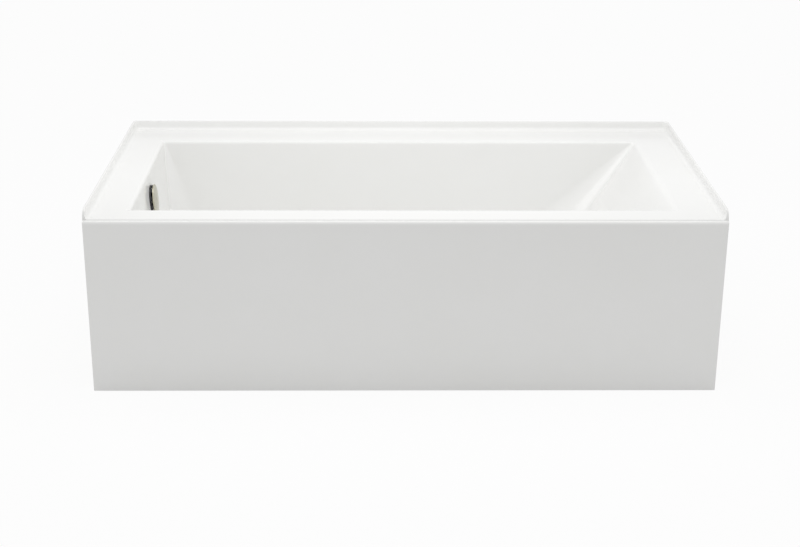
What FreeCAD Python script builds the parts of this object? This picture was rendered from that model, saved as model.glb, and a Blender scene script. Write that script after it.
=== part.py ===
import FreeCAD, Part
import math
import os
from FreeCAD import Vector

# Alcove bath with an apron and a tile flange moulded in one sheet, on a base board and feet, with a waste
# that a round handle on the overflow opens by cable.
#
# Lengths are millimetres.  The origin is the middle of the footprint on the floor.  +X runs from the drain
# end to the backrest end, +Y from the apron to the back wall, and +Z up.

# ---- Driving dimensions ---------------------------------------------------------------------------------

# The bath as a whole
LENGTH = 1524.0
WIDTH = 813.0
DECK_HEIGHT = 437.0
FLANGE_RISE = 25.4
FLANGE_WALL = 5.0
FLANGE_COVE = 12.0          # hollow radius where the deck turns up into the flange
FLANGE_CORNER = 16.0        # inner corner of the flange, in plan
FLANGE_EDGE = 1.8
FLANGE_END = 39.0           # from the apron's face to where the end flanges start
FLANGE_END_RADIUS = 25.0

# The sheet and what stiffens it
SKIN = 4.0
BACKING = 3.5
LANDING = 2.5               # thickness of the flat landing under the back deck, for a ledger
LANDING_WIDTH = 55.0
LANDING_EDGE = 12.0         # from the landing to the back of the laminate
LANDING_END = 60.0          # from the landing's ends to the ends of the bath
FRONT_EDGE_RADIUS = 9.0
APRON_CORNER_RADIUS = 3.0
APRON_END_RETURN = 32.0
APRON_FOOT_RETURN = 22.0

# The basin: widths of the deck round it, the fall of its floor and the lean of its walls
DRAIN_DECK = 100.0
BACKREST_DECK = 112.0
FRONT_DECK = 91.0
BACK_DECK = 122.0
FLOOR_HEIGHT = 90.0         # of the basin's floor at the drain
FLOOR_FALL = 1 / 96
SIDE_LEAN = math.tan(math.radians(6.0))
DRAIN_END_LEAN = math.tan(math.radians(5.0))
BACKREST_LEAN = math.tan(math.radians(36.3))
RIM_RADIUS = 9.0
FLOOR_COVE = 30.0
FAN_START = 14.0            # height above the deck at which the corner fans would start from a point
DRAIN_FAN = (0.345, 0.16)   # growth of a corner fan along the long wall and across, per mm of depth
BACKREST_FAN = (0.566, 0.245)
RIM_CROSSING = 0.2          # the rim's roll runs this far past the deck, so that the two cut cleanly

# Base board, feet and battens
BOARD = 12.0
BOARD_INSET = 8.0           # inside the flat of the basin's floor
BOARD_NOTCH = 84.0          # half the width of the board's notch round the drain
BOARD_NOTCH_END = 95.0      # from the drain's centre to the notch's end
FOOT_RADIUS = 37.0
FOOT_TOP_RADIUS = 29.0
FOOT_WALL = 4.0
FOOT_TRIM = 10.0            # taken off the cone's top so that it follows the board
FOOT_BOSS = 8.0
FOOT_SPREAD = 140.0         # of the two rows of feet from the basin's centre line
FOOT_PAST_DRAIN = 20.0      # from the drain's centre to the first pair of feet
FOOT_SETBACK = 437.0        # from the backrest end to the last pair
FOOT_SCREW = 2.5
FOOT_SCREW_HEAD = 5.0
FOOT_SCREW_HEAD_HEIGHT = 3.0
FOOT_SCREW_GRIP = 10.0
FOOT_RIB = 3.0
BATTEN = 18.0
RIM_BATTEN_DEPTH = 45.0
BATTEN_END_GAP = 60.0
UPRIGHT_WIDTH = 45.0
UPRIGHTS = 5
FOOT_RAIL_HEIGHT = 40.0
JOINT_GAP = 0.3             # left between curved pieces that aren't a fit

# How far the cutting forms run past what they cut, and how near counts as the same place
PAST = 1.0
FAR_PAST = 50.0
BITE = 1.0                  # of a rib or an arm into the wall that carries it
CLOSE = 0.01

# Drain fitting in the basin's floor
DRAIN_SETBACK = 227.0       # from the drain end to the drain's centre
RECESS_DEPTH = 5.0
RECESS_RADIUS = 38.5
RECESS_SLOPE = 4.0          # how much wider the recess is at the floor
DRAIN_HOLE = 25.0
SEAL = 1.0
SEAL_INSET = 2.0            # inside the rim of the drain's flange
DRAIN_FLANGE_RADIUS = 36.0
DRAIN_FLANGE = 3.6
DRAIN_FLANGE_EDGE = 1.0     # thickness at its rim
DRAIN_FLANGE_BEVEL = 3.0
DRAIN_THREAD = 23.0
DRAIN_BORE = 19.5
DRAIN_BODY = 29.0
STOPPER_SEAT_RADIUS = 24.2
STOPPER_SEAT_DEPTH = 2.4    # below the top of the drain's flange
STOPPER_SEAT_LEAD = 1.0     # bevel that leads the stopper in
SPIDER_HUB = 6.0
SPIDER_HUB_HEIGHT = 8.0
SPIDER_ARM = 3.0
SPIDER_ARMS = 4

# Stopper
STOPPER_RADIUS = 23.4
STOPPER_RIM = 2.0
STOPPER_DOME = 3.0
STOPPER_SEAL = 2.0
STOPPER_SEAL_WIDTH = 5.0
STOPPER_BOSS = 6.0
STOPPER_BOSS_HEIGHT = 8.0
STEM = 3.0
STEM_GRIP = 7.0
LOCK_NUT = 5.0
LOCK_NUT_HEIGHT = 3.5
STOPPER_LIFT = 10.0

# Pipes and joints of the waste
PIPE = 19.05
PIPE_WALL = 1.6
SOCKET_WALL = 4.0
SOCKET_CLEARANCE = 0.05
SOCKET_DEPTH = 26.0
OUTLET_BOTTOM = 3.0
BRANCH_CLEARANCE = 0.9      # from the outlet's free length up to the underside of the tee's branch
TEE_RISE = 67.0             # from the branch's axis to the tee's mouth
TEE_REACH = 52.0
NUT_HEIGHT = 18.0
NUT_WALL = 3.0
NUT_BEVEL = 1.5
NUT_RIBS = 12
NUT_RIB = 1.6
NUT_RIB_WIDTH = 3.0
NUT_RIB_END = 2.0           # from a rib's end to the nut's face
NUT_OVERLAP = 12.0          # of a slip nut over the socket that it closes
WASHER = 3.0

# Drain shoe, its lever and the drain's gasket
GASKET = 4.0
SHOE_FLANGE = 5.0
SHOE_FLANGE_RADIUS = 38.0
SHOE_WALL = 4.0
SHOE_FLOOR = 4.0
SHOE_DEPTH = 56.5
SHOE_BRANCH = 56.0
SHOE_BRANCH_DROP = 0.4      # from the underside of the shoe's flange to the top of its branch
LEVER_PIVOT_OFFSET = 14.0   # from the stem's axis
LEVER_ARM = 14.0
LEVER_HUB = 4.4
LEVER_WIDTH = 7.0
LEVER_BAR = 4.0
LEVER_NOSE = 3.5
LEVER_CABLE_ARM = 10.0
LEVER_PEG = 2.2
LEVER_PIN = 2.0
PIN_CLEARANCE = 0.05
LEVER_EAR = 3.0
LEVER_EAR_GAP = 0.4
LEVER_EAR_EDGE = 1.0        # of an ear past the lever's hub
LEVER_ROOM = 4.0           # left under the lever's peg

# Overflow
OVERFLOW_DEPTH = 72.0       # of its centre below the deck
OVERFLOW_HOLE = 31.0
OVERFLOW_NECK = 29.5
OVERFLOW_NECK_SHORT = 1.0   # from the neck's mouth to the wall's face
OVERFLOW_BORE = 22.0
OVERFLOW_FLANGE = 42.0
OVERFLOW_PLATE = 4.0
OVERFLOW_GASKET = 5.0
OVERFLOW_CUP = 30.0
OVERFLOW_CUP_LENGTH = 38.0
OVERFLOW_CUP_WALL = 4.0
OVERFLOW_OUTLET_DROP = 60.0 # of the outlet's mouth below the overflow's centre
CLAMP_RING = 2.0
CLAMP_RING_RADIUS = 36.0
CLAMP_SCREW = 1.8
CLAMP_SCREW_CIRCLE = 26.0
CLAMP_SCREW_HEAD = 3.4
CLAMP_SCREW_HEAD_HEIGHT = 1.8
CLAMP_SCREW_LENGTH = 12.0
SCREW_SLOT = 0.8            # its width and its depth
INTAKE_RADIUS = 36.5
INTAKE_WALL = 4.0
INTAKE_HEIGHT = 5.6
INTAKE_SLOTS = 10
INTAKE_SLOT_WIDTH = 12.0
INTAKE_SLOT_DEPTH = 3.6
HANDLE_RADIUS = 39.0
HANDLE_RIM = 3.2
HANDLE_DOME = 1.4
HANDLE_GAP = 0.6
HANDLE_HUB = 8.0
HANDLE_HUB_LENGTH = 5.0
HANDLE_GRIP_RADIUS = 9.0
HANDLE_GRIP_DEPTH = 3.0
HANDLE_TURN = 90.0
SPINDLE = 4.0
SPINDLE_BEARING = 8.0
SPINDLE_BEARING_LENGTH = 10.0
BEARING_ARM = 3.0
BEARING_ARMS = 3
CRANK_RADIUS = 9.0
CRANK = 4.0
CRANK_STANDOFF = 8.0        # from the cup's end wall to the back of the crank
CLIP = 1.0
CLIP_RADIUS = 6.5
CLIP_OPENING = 3.0
GRUB_SCREW = 1.5
GRUB_SCREW_SUNK = 0.5       # of its end below the hub's face

# Cable
CABLE = 3.5
CABLE_WAY = 1.5             # way through a boss for the wire inside the sheath
CABLE_BEND = 40.0
CABLE_STRAIGHT = 0.5        # least straight run that a bend leaves
CABLE_STANDOFF = 92.0       # of the cable's long runs from the basin's centre line
GLAND_RADIUS = 8.0
GLAND_LENGTH = 12.0
GLAND_BOSS = 6.5
GLAND_BOSS_LENGTH = 16.0
GLAND_BOSS_SUNK = 2.0       # of the overflow's boss in the round of its cup
GLAND_THREAD = 8.0          # length of boss inside the gland nut

# ---- Sizes worked out from those ------------------------------------------------------------------------

HALF_LENGTH = LENGTH / 2
HALF_WIDTH = WIDTH / 2
TOP = DECK_HEIGHT + FLANGE_RISE
SHEET = SKIN + BACKING
BASIN_Y = (FRONT_DECK - BACK_DECK) / 2
BASIN_HALF_WIDTH = (WIDTH - FRONT_DECK - BACK_DECK) / 2
DRAIN_X = -HALF_LENGTH + DRAIN_SETBACK
FOOT_FIRST = DRAIN_X + FOOT_PAST_DRAIN
FOOT_LAST = HALF_LENGTH - FOOT_SETBACK
FOOT_X = (FOOT_FIRST, (FOOT_FIRST + FOOT_LAST) / 2, FOOT_LAST)

RECESS_FLOOR = FLOOR_HEIGHT - RECESS_DEPTH
DRAIN_FLANGE_BOTTOM = RECESS_FLOOR + SEAL
DRAIN_FLANGE_TOP = DRAIN_FLANGE_BOTTOM + DRAIN_FLANGE
STOPPER_SEAT = DRAIN_FLANGE_TOP - STOPPER_SEAT_DEPTH
GASKET_TOP = RECESS_FLOOR - SHEET
SHOE_TOP = GASKET_TOP - GASKET
SHOE_BORE = DRAIN_THREAD + SOCKET_CLEARANCE
SOCKET_BORE = PIPE + SOCKET_CLEARANCE
SOCKET_RADIUS = SOCKET_BORE + SOCKET_WALL
PIPE_BORE = PIPE - PIPE_WALL
SHOE_BOTTOM = SHOE_TOP - SHOE_DEPTH
WASTE_AXIS_HEIGHT = SHOE_TOP - SHOE_FLANGE - SHOE_BRANCH_DROP - SOCKET_RADIUS
TEE_TOP = WASTE_AXIS_HEIGHT + TEE_RISE
OUTLET_LENGTH = WASTE_AXIS_HEIGHT - SOCKET_RADIUS - BRANCH_CLEARANCE - OUTLET_BOTTOM

OVERFLOW_X = -HALF_LENGTH + DRAIN_DECK + OVERFLOW_DEPTH * DRAIN_END_LEAN
OVERFLOW_Z = DECK_HEIGHT - OVERFLOW_DEPTH
OVERFLOW_TILT = math.degrees(math.atan(DRAIN_END_LEAN))
PLATE_FRONT = -SHEET - OVERFLOW_GASKET
PLATE_BACK = PLATE_FRONT - OVERFLOW_PLATE
CUP_BACK = PLATE_BACK - OVERFLOW_CUP_LENGTH
RISER_X = OVERFLOW_X + (PLATE_BACK + CUP_BACK) / 2 * math.cos(math.radians(OVERFLOW_TILT))
OUTLET_Z = OVERFLOW_Z - OVERFLOW_OUTLET_DROP

SHOE_BOSS_REACH = SHOE_BORE + GLAND_BOSS_LENGTH           # of each cable boss from the basin's centre line
CUP_BOSS_REACH = OVERFLOW_CUP - GLAND_BOSS_SUNK + GLAND_BOSS_LENGTH

LEVER_REST = math.asin(STOPPER_LIFT / 2 / LEVER_ARM)      # the lever swings as far below level as above
LEVER_Y = BASIN_Y - LEVER_PIVOT_OFFSET
LEVER_Z = SHOE_BOTTOM + SHOE_FLOOR + LEVER_ROOM + LEVER_PEG + LEVER_CABLE_ARM
STEM_FOOT = LEVER_Z - STOPPER_LIFT / 2 + LEVER_NOSE + JOINT_GAP
CRANK_THROW = LEVER_CABLE_ARM * math.sin(LEVER_REST) / math.sin(math.radians(HANDLE_TURN / 2))


# ---- The basin as a stack of rings ----------------------------------------------------------------------
# A ring is the basin's outline at one level.  Each corner has a fan, an arc that starts tangent to the long
# wall and meets the end wall at a crease.  The fans widen with depth, so each is part of a cone.

ENDS = (
    (-1, -HALF_LENGTH + DRAIN_DECK, DRAIN_END_LEAN, DRAIN_FAN),
    (1, HALF_LENGTH - BACKREST_DECK, BACKREST_LEAN, BACKREST_FAN),
)


def slant(lean):
    return math.sqrt(1 + lean * lean)


def corner(end, depth, offset):
    """Start, middle and crease of the fan at one end, in plan, for the basin grown by offset."""
    side, opening, lean, (along_rate, across_rate) = end
    wall = opening - side * (lean * depth - offset * slant(lean))
    half = BASIN_HALF_WIDTH - SIDE_LEAN * depth + offset * slant(SIDE_LEAN)
    turn = 2 * math.atan(across_rate / along_rate)
    along = along_rate * (depth + FAN_START)
    radius = along / math.sin(turn)
    start = wall - side * along
    middle = (start + side * radius * math.sin(turn / 2), half - radius * (1 - math.cos(turn / 2)))
    crease = (wall, half - across_rate * (depth + FAN_START))
    return (start, half), middle, crease


def level_ring(depth, offset):
    """The ring at a level below the deck."""
    return [[Vector(x, y, DECK_HEIGHT - depth) for x, y in corner(end, depth, offset)] for end in ENDS]


def floor_at(x):
    return FLOOR_HEIGHT + FLOOR_FALL * (x - DRAIN_X)


def floor_ring(rise, offset, inset=0.0):
    """The ring on the plane that lies rise above the sloping floor, or inset from the walls in that plane."""
    ring = []
    for end in ENDS:
        points = []
        for which in range(3):
            depth = DECK_HEIGHT - FLOOR_HEIGHT
            for _ in range(6):
                x, y = corner(end, depth, offset)[which]
                depth = DECK_HEIGHT - (floor_at(x) - offset + rise)
            x, y = corner(end, depth, offset - inset)[which]
            points.append(Vector(x, y, floor_at(x) - offset + rise))
        ring.append(points)
    return ring


def blend_rings(first, corner_ring, last, steps):
    """Rings along a curve that leaves the first ring towards the corner ring and ends at the last."""
    rings = []
    for step in range(steps + 1):
        t = step / steps
        weights = ((1 - t) ** 2, 2 * t * (1 - t), t * t)
        rings.append([
            [a * weights[0] + b * weights[1] + c * weights[2] for a, b, c in zip(*points)]
            for points in zip(first, corner_ring, last)
        ])
    return rings


def mirrored(point):
    return Vector(point.x, -point.y, point.z)


def ring_wire(ring):
    (drain_start, drain_middle, drain_crease), (rest_start, rest_middle, rest_crease) = ring
    corners = [
        (rest_start, rest_middle, rest_crease),
        (mirrored(rest_crease), mirrored(rest_middle), mirrored(rest_start)),
        (mirrored(drain_start), mirrored(drain_middle), mirrored(drain_crease)),
        (drain_crease, drain_middle, drain_start),
    ]
    edges = []
    previous = drain_start
    for begin, middle, finish in corners:
        edges.append(Part.makeLine(previous, begin))
        edges.append(Part.Arc(begin, middle, finish).toShape())
        previous = finish
    return Part.Wire(edges)


def basin_form(offset):
    """The basin as a solid, grown outwards by offset: 0 is the bathing space, SKIN the sheet's underside."""
    roll = max(RIM_RADIUS - offset, 1.0)
    cove = FLOOR_COVE + offset
    rim = blend_rings(level_ring(offset + roll, offset), level_ring(offset - RIM_CROSSING, offset),
                      level_ring(offset - RIM_CROSSING, offset + roll), 2)
    foot = blend_rings(floor_ring(cove, offset), floor_ring(0, offset), floor_ring(0, offset, cove), 4)
    bowl = Part.makeLoft([ring_wire(ring) for ring in foot], True, False)
    walls = Part.makeLoft([ring_wire(foot[0]), ring_wire(rim[0])], True, True)
    mouth = Part.makeLoft([ring_wire(ring) for ring in rim], True, False)
    form = bowl.fuse([walls, mouth])
    form.translate(Vector(0, BASIN_Y, 0))
    recess = Part.makeCone(RECESS_RADIUS + offset, RECESS_RADIUS + offset + RECESS_SLOPE, RECESS_DEPTH + offset,
                           Vector(DRAIN_X, BASIN_Y, RECESS_FLOOR - offset))
    return form.fuse(recess)


# ---- Small makers ---------------------------------------------------------------------------------------

def box(low, high):
    return Part.makeBox(high[0] - low[0], high[1] - low[1], high[2] - low[2], Vector(*low))


def ring_solid(outer, inner, low, high, x=0.0, y=0.0):
    """A tube along Z, or a disc where inner is 0."""
    solid = Part.makeCylinder(outer, high - low, Vector(x, y, low))
    if inner:
        solid = solid.cut(Part.makeCylinder(inner, high - low + 2 * PAST, Vector(x, y, low - PAST)))
    return solid


def turned(profile, x=0.0, y=0.0):
    """A solid turned about a vertical axis from its half profile, a list of (radius, z)."""
    points = [Vector(radius, 0, z) for radius, z in profile]
    face = Part.Face(Part.makePolygon(points + points[:1]))
    solid = face.revolve(Vector(0, 0, 0), Vector(0, 0, 1), 360)
    solid.translate(Vector(x, y, 0))
    return solid


def edges_where(shape, test):
    return [edge for edge in shape.Edges if all(test(vertex.Point) for vertex in edge.Vertexes)]


def upright_edges(edges):
    return [edge for edge in edges if edge.BoundBox.XLength < CLOSE and edge.BoundBox.YLength < CLOSE]


def on_end_wall(shape):
    """Carries a shape from its own frame, where +Z leaves the end wall, to the overflow's place."""
    shape = shape.copy()
    shape.rotate(Vector(0, 0, 0), Vector(0, 1, 0), 90 - OVERFLOW_TILT)
    shape.translate(Vector(OVERFLOW_X, BASIN_Y, OVERFLOW_Z))
    return shape


def along_x(shape, x, y, z):
    """Turns a shape made along Z so that it runs along +X from a point."""
    shape = shape.copy()
    shape.rotate(Vector(0, 0, 0), Vector(0, 1, 0), 90)
    shape.translate(Vector(x, y, z))
    return shape


def export(node, *solids):
    """Writes one node from its solids."""
    shape = solids[0] if len(solids) == 1 else Part.Compound(list(solids))
    shape.exportStep("parts/" + node + ".step")
    print(f"{node:24s} {len(shape.Solids):3d} solids {shape.Volume / 1000:10.2f} cm3  valid {shape.isValid()}")


# ---- The moulded sheet ----------------------------------------------------------------------------------

def flange_recess():
    """The space over the deck, inside the tile flange, with its hollow corners."""
    inner_x = HALF_LENGTH - FLANGE_WALL
    inner_y = HALF_WIDTH - FLANGE_WALL
    space = box((-inner_x, -HALF_WIDTH - FAR_PAST, DECK_HEIGHT), (inner_x, inner_y, TOP + FAR_PAST))
    back_corners = upright_edges(edges_where(space, lambda p: abs(p.y - inner_y) < CLOSE))
    space = space.makeFillet(FLANGE_CORNER, back_corners)
    foot = [edge for edge in edges_where(space, lambda p: abs(p.z - DECK_HEIGHT) < CLOSE)
            if edge.BoundBox.YMax > -HALF_WIDTH]
    return space.makeFillet(FLANGE_COVE, foot)


def front_clearing():
    """What the deck's front strip has over it instead of a flange: its back edge is a quarter round."""
    start = -HALF_WIDTH + FLANGE_END
    clearing = box((-HALF_LENGTH - PAST, -HALF_WIDTH - PAST, DECK_HEIGHT),
                   (HALF_LENGTH + PAST, start + FLANGE_END_RADIUS, TOP + PAST))
    left = -HALF_LENGTH - FAR_PAST
    round_end = Part.makeCylinder(
        FLANGE_END_RADIUS, LENGTH + 2 * FAR_PAST,
        Vector(left, start + FLANGE_END_RADIUS, TOP - FLANGE_END_RADIUS), Vector(1, 0, 0))
    below = box((left, start, DECK_HEIGHT - PAST),
                (-left, start + FLANGE_END_RADIUS + PAST, TOP - FLANGE_END_RADIUS))
    return clearing.cut(round_end.fuse(below))


def flanged_deck():
    """Deck and tile flange, before the basin is let in."""
    block = box((-HALF_LENGTH, -HALF_WIDTH, DECK_HEIGHT - SKIN), (HALF_LENGTH, HALF_WIDTH, TOP))
    back_corners = upright_edges(edges_where(block, lambda p: p.y > 0))
    block = block.makeFillet(FLANGE_CORNER / 2, back_corners)
    block = block.cut(flange_recess())
    flange_top = [edge for edge in edges_where(block, lambda p: abs(p.z - TOP) < CLOSE)
                  if edge.Length > FLANGE_WALL + CLOSE]
    return block.makeFillet(FLANGE_EDGE, flange_top).cut(front_clearing())


def apron():
    """Apron with the returns that stiffen its ends and its foot."""
    face = box((-HALF_LENGTH, -HALF_WIDTH, 0), (HALF_LENGTH, -HALF_WIDTH + SKIN, DECK_HEIGHT))
    foot = box((-HALF_LENGTH, -HALF_WIDTH, 0), (HALF_LENGTH, -HALF_WIDTH + APRON_FOOT_RETURN, SKIN))
    ends = [
        box((low, -HALF_WIDTH, 0), (low + SKIN, -HALF_WIDTH + APRON_END_RETURN, DECK_HEIGHT))
        for low in (-HALF_LENGTH, HALF_LENGTH - SKIN)
    ]
    return face.fuse([foot] + ends)


def overflow_hole():
    return on_end_wall(Part.makeCylinder(OVERFLOW_HOLE, SHEET + 2 * FAR_PAST, Vector(0, 0, -SHEET - FAR_PAST)))


def drain_hole():
    bottom = RECESS_FLOOR - SHEET - FAR_PAST
    return Part.makeCylinder(DRAIN_HOLE, SHEET + 2 * FAR_PAST, Vector(DRAIN_X, BASIN_Y, bottom))


def outer_envelope():
    """A solid block with the bath's rounded front edge and apron corners, higher than the flange."""
    front, back, high = -HALF_WIDTH, HALF_WIDTH + FAR_PAST, TOP + FAR_PAST
    radius = FRONT_EDGE_RADIUS
    low_corner = Vector(-HALF_LENGTH, front, DECK_HEIGHT - radius)
    high_corner = Vector(-HALF_LENGTH, front + radius, DECK_HEIGHT)
    half_way = radius * (1 - math.sqrt(0.5))
    middle = Vector(-HALF_LENGTH, front + half_way, DECK_HEIGHT - half_way)
    step = Vector(-HALF_LENGTH, front + FLANGE_END - PAST, DECK_HEIGHT)
    rest = [step, Vector(-HALF_LENGTH, step.y, high), Vector(-HALF_LENGTH, back, high),
            Vector(-HALF_LENGTH, back, -PAST), Vector(-HALF_LENGTH, front, -PAST), low_corner]
    edges = [Part.Arc(low_corner, middle, high_corner).toShape(), Part.makeLine(high_corner, step)]
    edges += [Part.makeLine(begin, finish) for begin, finish in zip(rest, rest[1:])]
    block = Part.Face(Part.Wire(edges)).extrude(Vector(LENGTH, 0, 0))
    front_corners = upright_edges(edges_where(block, lambda p: abs(p.y - front) < CLOSE))
    return block.makeFillet(APRON_CORNER_RADIUS, front_corners)


def bath_shell(bathing_space, skin_form):
    body = flanged_deck().fuse(apron()).common(outer_envelope())
    return body.fuse(skin_form).cut(bathing_space).cut(overflow_hole()).cut(drain_hole())


def prism(outline, start, reach):
    """A block drawn out from start over reach, from the corners of its outline."""
    block = Part.Face(Part.makePolygon(outline + outline[:1])).extrude(reach)
    block.translate(start)
    return block


def beyond_fans(end):
    """All that lies past the sloping plane in which the two fans at one end start."""
    low, high = -PAST, TOP + PAST
    low_x, high_x = [corner(end, DECK_HEIGHT - z, 0)[0][0] for z in (low, high)]
    far = end[0] * LENGTH
    outline = [Vector(low_x, 0, low), Vector(high_x, 0, high), Vector(far, 0, high), Vector(far, 0, low)]
    return prism(outline, Vector(0, -WIDTH, 0), Vector(0, 2 * WIDTH, 0))


def between_creases(end):
    """All that lies between the two sloping planes through the creases at one end."""
    low, high = -PAST, TOP + PAST
    low_y, high_y = [corner(end, DECK_HEIGHT - z, 0)[2][1] for z in (low, high)]
    outline = [Vector(0, -low_y, low), Vector(0, low_y, low), Vector(0, high_y, high), Vector(0, -high_y, high)]
    return prism(outline, Vector(-LENGTH, BASIN_Y, 0), Vector(2 * LENGTH, 0, 0))


def flat_of_floor():
    """An upright block through the part of the floor that lies inside its cove."""
    flat = Part.Face(ring_wire(floor_ring(0, 0, FLOOR_COVE + BITE)))
    block = flat.extrude(Vector(0, 0, 2 * FAR_PAST))
    block.translate(Vector(0, BASIN_Y, -FAR_PAST))
    return block


def divided(sheet):
    """The one moulded sheet as blocks that lie face to face: its apron, the flat of its floor, and the cove and
    the walls, each parted where the corner fans start and along their creases."""
    behind = -HALF_WIDTH + APRON_END_RETURN + PAST
    apron_side = box((-LENGTH, -WIDTH, -PAST), (LENGTH, behind, DECK_HEIGHT - SKIN))
    flat = flat_of_floor()
    below_walls = under_floor(-FLOOR_COVE)
    basin = sheet.cut(apron_side)
    blocks = sheet.common(apron_side).Solids + basin.common(flat).Solids
    rest = basin.cut(flat)
    for part in (rest.common(below_walls), rest.cut(below_walls)):
        for end in ENDS:
            past = part.common(beyond_fans(end))
            part = part.cut(beyond_fans(end))
            blocks += past.common(between_creases(end)).Solids + past.cut(between_creases(end)).Solids
        blocks += part.Solids
    return blocks


def glass_fibre_backing(skin_form, backing_form):
    """Laminate over the back of the sheet: basin, deck and apron, with a flat landing under the back deck."""
    edge = FLANGE_WALL + JOINT_GAP
    front = -HALF_WIDTH + SKIN
    back = HALF_WIDTH - edge
    deck = box((-HALF_LENGTH + edge, front, DECK_HEIGHT - SHEET), (HALF_LENGTH - edge, back, DECK_HEIGHT - SKIN))
    face = box((-HALF_LENGTH + edge, front, SKIN), (HALF_LENGTH - edge, front + BACKING, DECK_HEIGHT - SKIN))
    landing_back = back - LANDING_EDGE
    landing = box((-HALF_LENGTH + LANDING_END, landing_back - LANDING_WIDTH, DECK_HEIGHT - SHEET - LANDING),
                  (HALF_LENGTH - LANDING_END, landing_back, DECK_HEIGHT - SHEET))
    return deck.fuse([face, landing, backing_form]).cut(skin_form).cut(overflow_hole()).cut(drain_hole())


# ---- Base board, feet and battens -----------------------------------------------------------------------

def under_floor(depth):
    """A big block whose top is the plane that lies depth below the basin's floor."""
    reach = LENGTH
    left, right = -reach, reach
    points = [
        Vector(left, 0, floor_at(left) - depth),
        Vector(right, 0, floor_at(right) - depth),
        Vector(right, 0, -reach),
        Vector(left, 0, -reach),
    ]
    block = Part.Face(Part.makePolygon(points + points[:1])).extrude(Vector(0, 2 * reach, 0))
    block.translate(Vector(0, -reach, 0))
    return block


def base_board():
    """Board under the flat of the floor, with its corners cut to the fans and a notch round the drain."""
    outline = []
    ring = floor_ring(0, SHEET, FLOOR_COVE + SHEET + BOARD_INSET)
    (drain_start, _, drain_crease), (rest_start, _, rest_crease) = ring
    for point in (drain_start, rest_start, rest_crease):
        outline.append((point.x, point.y))
    for point in (rest_crease, rest_start, drain_start, drain_crease):
        outline.append((point.x, -point.y))
    outline.append((drain_crease.x, drain_crease.y))
    low, high = 0.0, FLOOR_HEIGHT + BOARD
    points = [Vector(x, y + BASIN_Y, low) for x, y in outline]
    board = Part.Face(Part.makePolygon(points + points[:1])).extrude(Vector(0, 0, high))
    board = board.common(under_floor(SHEET)).cut(under_floor(SHEET + BOARD))
    notch = box((drain_crease.x - FAR_PAST, BASIN_Y - BOARD_NOTCH, low - PAST),
                (DRAIN_X + BOARD_NOTCH_END, BASIN_Y + BOARD_NOTCH, high + PAST))
    return board.cut(notch)


def foot_places():
    return [(x, BASIN_Y + side * FOOT_SPREAD) for x in FOOT_X for side in (-1, 1)]


def support_foot(x, y):
    """A tapered moulded cup, open below, with a screw boss and four ribs; its top follows the board."""
    height = floor_at(x) - SHEET - BOARD
    over = height + FOOT_TRIM
    outer = Part.makeCone(FOOT_RADIUS, FOOT_TOP_RADIUS, over, Vector(x, y, 0))
    inner = Part.makeCone(FOOT_RADIUS - FOOT_WALL, FOOT_TOP_RADIUS - FOOT_WALL, over, Vector(x, y, 0))
    inner = inner.common(under_floor(SHEET + BOARD + FOOT_WALL))
    foot = outer.cut(inner)
    boss = Part.makeCylinder(FOOT_BOSS, over, Vector(x, y, FOOT_WALL))
    half_rib = FOOT_RIB / 2
    ribs = [box((x - FOOT_RADIUS, y - half_rib, FOOT_WALL), (x + FOOT_RADIUS, y + half_rib, over)),
            box((x - half_rib, y - FOOT_RADIUS, FOOT_WALL), (x + half_rib, y + FOOT_RADIUS, over))]
    foot = foot.fuse([part.common(outer) for part in [boss] + ribs])
    foot = foot.common(under_floor(SHEET + BOARD))
    screw_way = Part.makeCylinder(FOOT_SCREW, over, Vector(x, y, 0))
    head_way = Part.makeCylinder(FOOT_SCREW_HEAD, height - FOOT_SCREW_GRIP, Vector(x, y, 0))
    return foot.cut(screw_way).cut(head_way)


def foot_screw(x, y):
    """Wood screw up through the foot's boss into the board."""
    height = floor_at(x) - SHEET - BOARD
    head_top = height - FOOT_SCREW_GRIP
    head_bottom = head_top - FOOT_SCREW_HEAD_HEIGHT
    head_radius = FOOT_SCREW_HEAD - JOINT_GAP
    tip = height - JOINT_GAP
    return turned([(0, head_bottom), (head_radius, head_bottom), (head_radius, head_top), (FOOT_SCREW, head_top),
                   (FOOT_SCREW, tip), (0, tip)], x, y)


def batten_run():
    inner = HALF_LENGTH - BATTEN_END_GAP
    return -inner, inner


def front_rim_batten():
    """Wooden batten under the front strip of the deck, against the back of the apron."""
    left, right = batten_run()
    front = -HALF_WIDTH + SHEET
    top = DECK_HEIGHT - SHEET
    return box((left, front, top - BATTEN), (right, front + RIM_BATTEN_DEPTH, top))


def apron_foot_rail():
    """Wooden rail behind the foot of the apron, standing on the foot's return."""
    left, right = batten_run()
    front = -HALF_WIDTH + SHEET
    return box((left, front, SKIN), (right, front + BATTEN, SKIN + FOOT_RAIL_HEIGHT))


def apron_uprights():
    """Wooden uprights between the foot rail and the rim batten."""
    left, right = batten_run()
    front = -HALF_WIDTH + SHEET
    step = (right - left - UPRIGHT_WIDTH) / (UPRIGHTS - 1)
    return [
        box((left + step * number, front, SKIN + FOOT_RAIL_HEIGHT),
            (left + step * number + UPRIGHT_WIDTH, front + BATTEN, DECK_HEIGHT - SHEET - BATTEN))
        for number in range(UPRIGHTS)
    ]


# ---- Drain fitting and stopper --------------------------------------------------------------------------

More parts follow.
